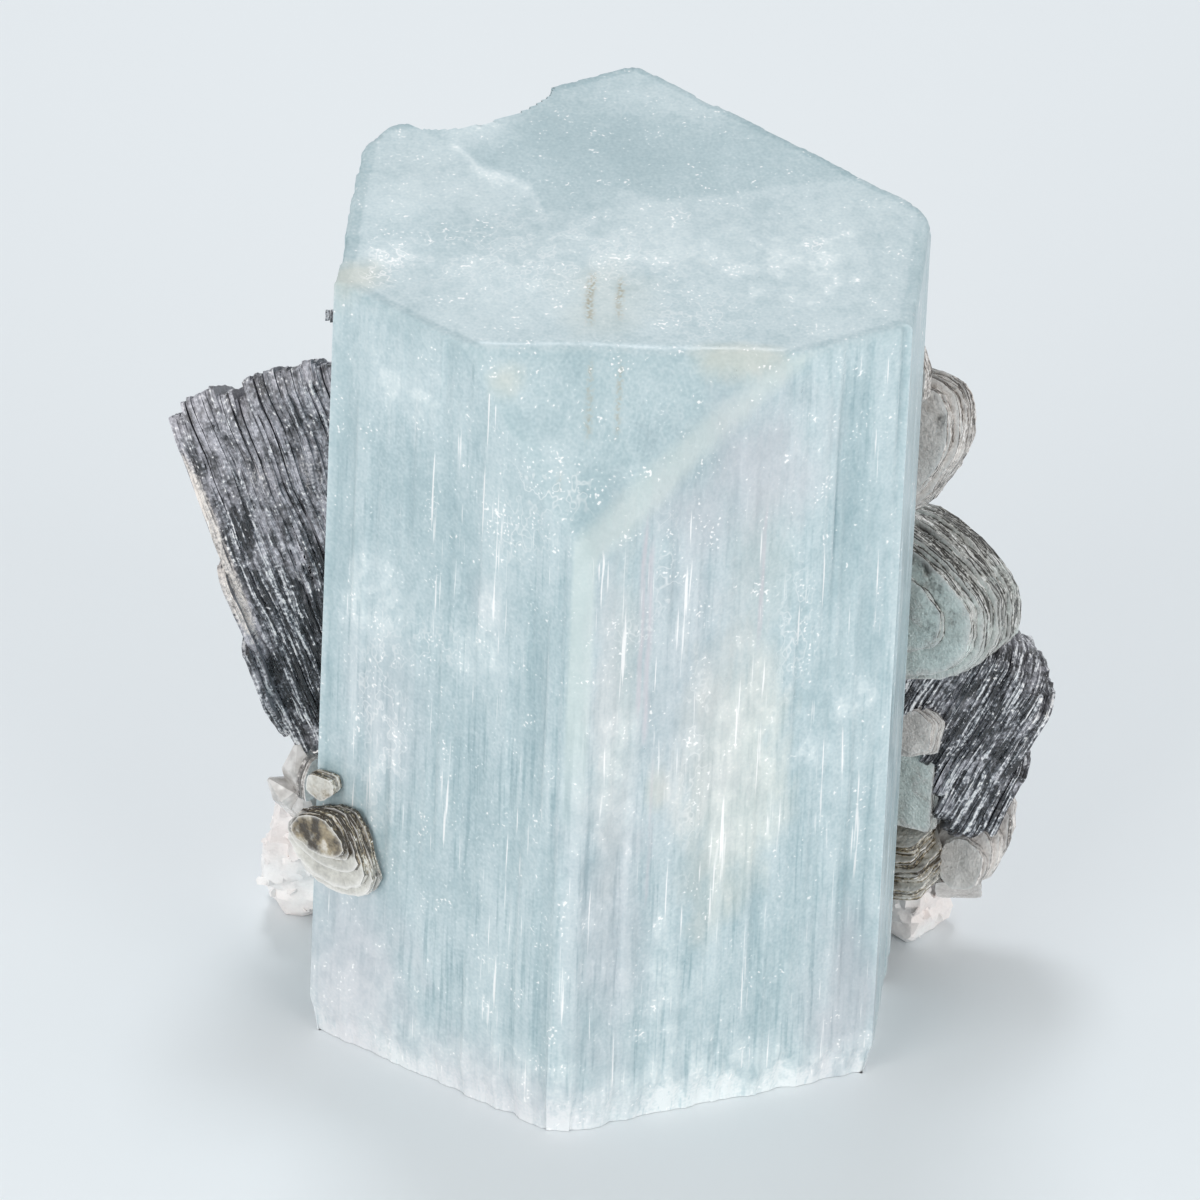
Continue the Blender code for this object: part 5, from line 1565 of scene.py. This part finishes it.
# Tubes show on the walls, more of them low down.
height = add_node(tree, "ShaderNodeSeparateXYZ", {0: place_mm}).outputs["Z"]
lowering = {"From Min": 62.0, "From Max": 20.0, "To Min": 0.15, "To Max": 0.70}
low_down = add_node(tree, RANGE, {"Value": height, **lowering})
tube_room = summed(tree, low_down, ((clouds, 3.4),), clamp=True)
on_wall = add_node(tree, MATH, {0: stored["wall"], 1: tube_room}, operation="MULTIPLY")
tube_share = add_node(tree, MATH, {0: on_wall, 1: 0.5}, operation="MULTIPLY")
tube_mix = summed(tree, tubes, ((fine_tubes, 0.55),))
clear_lines = summed(tree, -0.1, ((fine_tubes, -1.0), (tubes, -0.5)))
clear_lines = add_node(tree, MATH, {0: clear_lines, 1: 16.0}, operation="MULTIPLY", use_clamp=True)
clear_lines = add_node(tree, MATH, {0: clear_lines, 1: on_wall}, operation="MULTIPLY")

# Islands: where a patch meets a strong wisp, it gets a hard edge. One sign is milk and one is clear.
islands = []
for sign in (1.0, -1.0):
    island = summed(tree, -0.16, ((wisps, 1.3), (stored["milk"], sign)))
    island = add_node(tree, MATH, {0: island, 1: 12.0}, operation="MULTIPLY", use_clamp=True)
    islands.append((island, 0.10 * sign))

# What makes it milkier or, below zero, clearer, and by how much.
layers = [(clouds, 0.34), (stored["milk"], 0.62), (tube_mix, tube_share), (wisps, 0.42), (grain, 0.34)]
layers += islands + [(stored["facet"], -0.05), (stored["foot"], 0.24)]
# Painted shade: deep striae are made clearer, so darker, in their grooves.
# Painted shade: the rounded rim and creases are made a little clearer, so darker, to dim their highlight.
layers += [(clear_lines, -0.15), (stored["worn"], -0.08), (stored["groove"], -0.24)]
milkiness = summed(tree, 0.51, layers)

# Flecks, partly white inclusions and partly painted glints: specks of the glinting patches, dashes along the
# tubes, and healed cracks between the clouds.
specks = add_node(tree, MATH, {0: wisps, 1: -0.3}, operation="ADD")
specks = summed(tree, specks, ((stored["glint"], 0.16), (grain, 0.9)))
specks = add_node(tree, MATH, {0: specks, 1: 9.0}, operation="MULTIPLY", use_clamp=True)
dashes = summed(tree, -0.225, ((stored["glint"], 0.06), (tubes, 0.6)))
dashes = add_node(tree, MATH, {0: fine_tubes, 1: dashes}, operation="ADD")
dash_share = add_node(tree, MATH, {0: stored["wall"], 1: 11.0}, operation="MULTIPLY")
dashes = add_node(tree, MATH, {0: dashes, 1: dash_share}, operation="MULTIPLY", use_clamp=True)
crack = add_node(tree, MATH, {0: summed(tree, wisps, ((clouds, 0.35),))}, operation="ABSOLUTE")
crack = summed(tree, 1.0, ((crack, -34.0),), clamp=True)
crack_share = summed(tree, 0.06, ((stored["glint"], 0.75),))
crack = add_node(tree, MATH, {0: crack, 1: crack_share}, operation="MULTIPLY")
flecks_and_glints = add_node(tree, MATH, {0: specks, 1: dashes}, operation="MAXIMUM")
flecks_and_glints = add_node(tree, MATH, {0: flecks_and_glints, 1: crack}, operation="MAXIMUM")

# The colours, from the clearest to the milkiest, then each tint, where it is and how strong.
milk_ramp = add_node(tree, RAMP, {"Fac": milkiness})
MILK_COLOURS = ((0.05, "#9BB7BF"), (0.32, "#B2C8CE"), (0.52, "#C3D4D9"), (0.74, "#D2DFE2"), (1.0, "#EAF0F1"))
set_ramp(milk_ramp, MILK_COLOURS)
rust_grain = summed(tree, 0.55, ((grain, 2.6),), clamp=True)
tints = (
    (stored["cream"], 0.55, "#D9D8C9"),
    (stored["band"], 0.62, "#CFDCDA"),
    (stored["pink"], 0.70, "#D2CBD2"),
    (stored["rust"], rust_grain, "#9A9276"),
    # Partly painted glints: the white flecks.
    (flecks_and_glints, 0.80, "#FFFFFF"),
)
colour = milk_ramp.outputs[0]
for where, strength, tint in tints:
    share = add_node(tree, MATH, {0: where, 1: strength}, operation="MULTIPLY")
    inputs = {MIX_SHARE: share, MIX_FIRST: colour, MIX_SECOND: linear(tint)}
    colour = add_node(tree, MIX, inputs, data_type="RGBA").outputs[MIX_COLOUR]

clearing = {"From Min": 0.15, "From Max": 0.85, "To Min": 0.20, "To Max": 0.03}
look = {
    "Base Color": colour,
    "Transmission Weight": add_node(tree, RANGE, {"Value": milkiness, **clearing}),
    "Roughness": summed(tree, 0.34, ((stored["worn"], 0.4), (stored["foot"], 0.25), (wisps, 0.25))),
    "IOR": 1.575,  # beryl's
}
plug(tree, shader, look)
inside = add_node(tree, "ShaderNodeVolumeAbsorption", {"Color": linear("#B4DCE4"), "Density": 7.0})
plug(tree, tree.nodes["Material Output"], {"Volume": inside})
beryl_mesh.materials.append(aquamarine)
print("aquamarine has", len(tree.nodes), "nodes")

# %% Finish
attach(beryl, "root")
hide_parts("aquamarine_crystal")
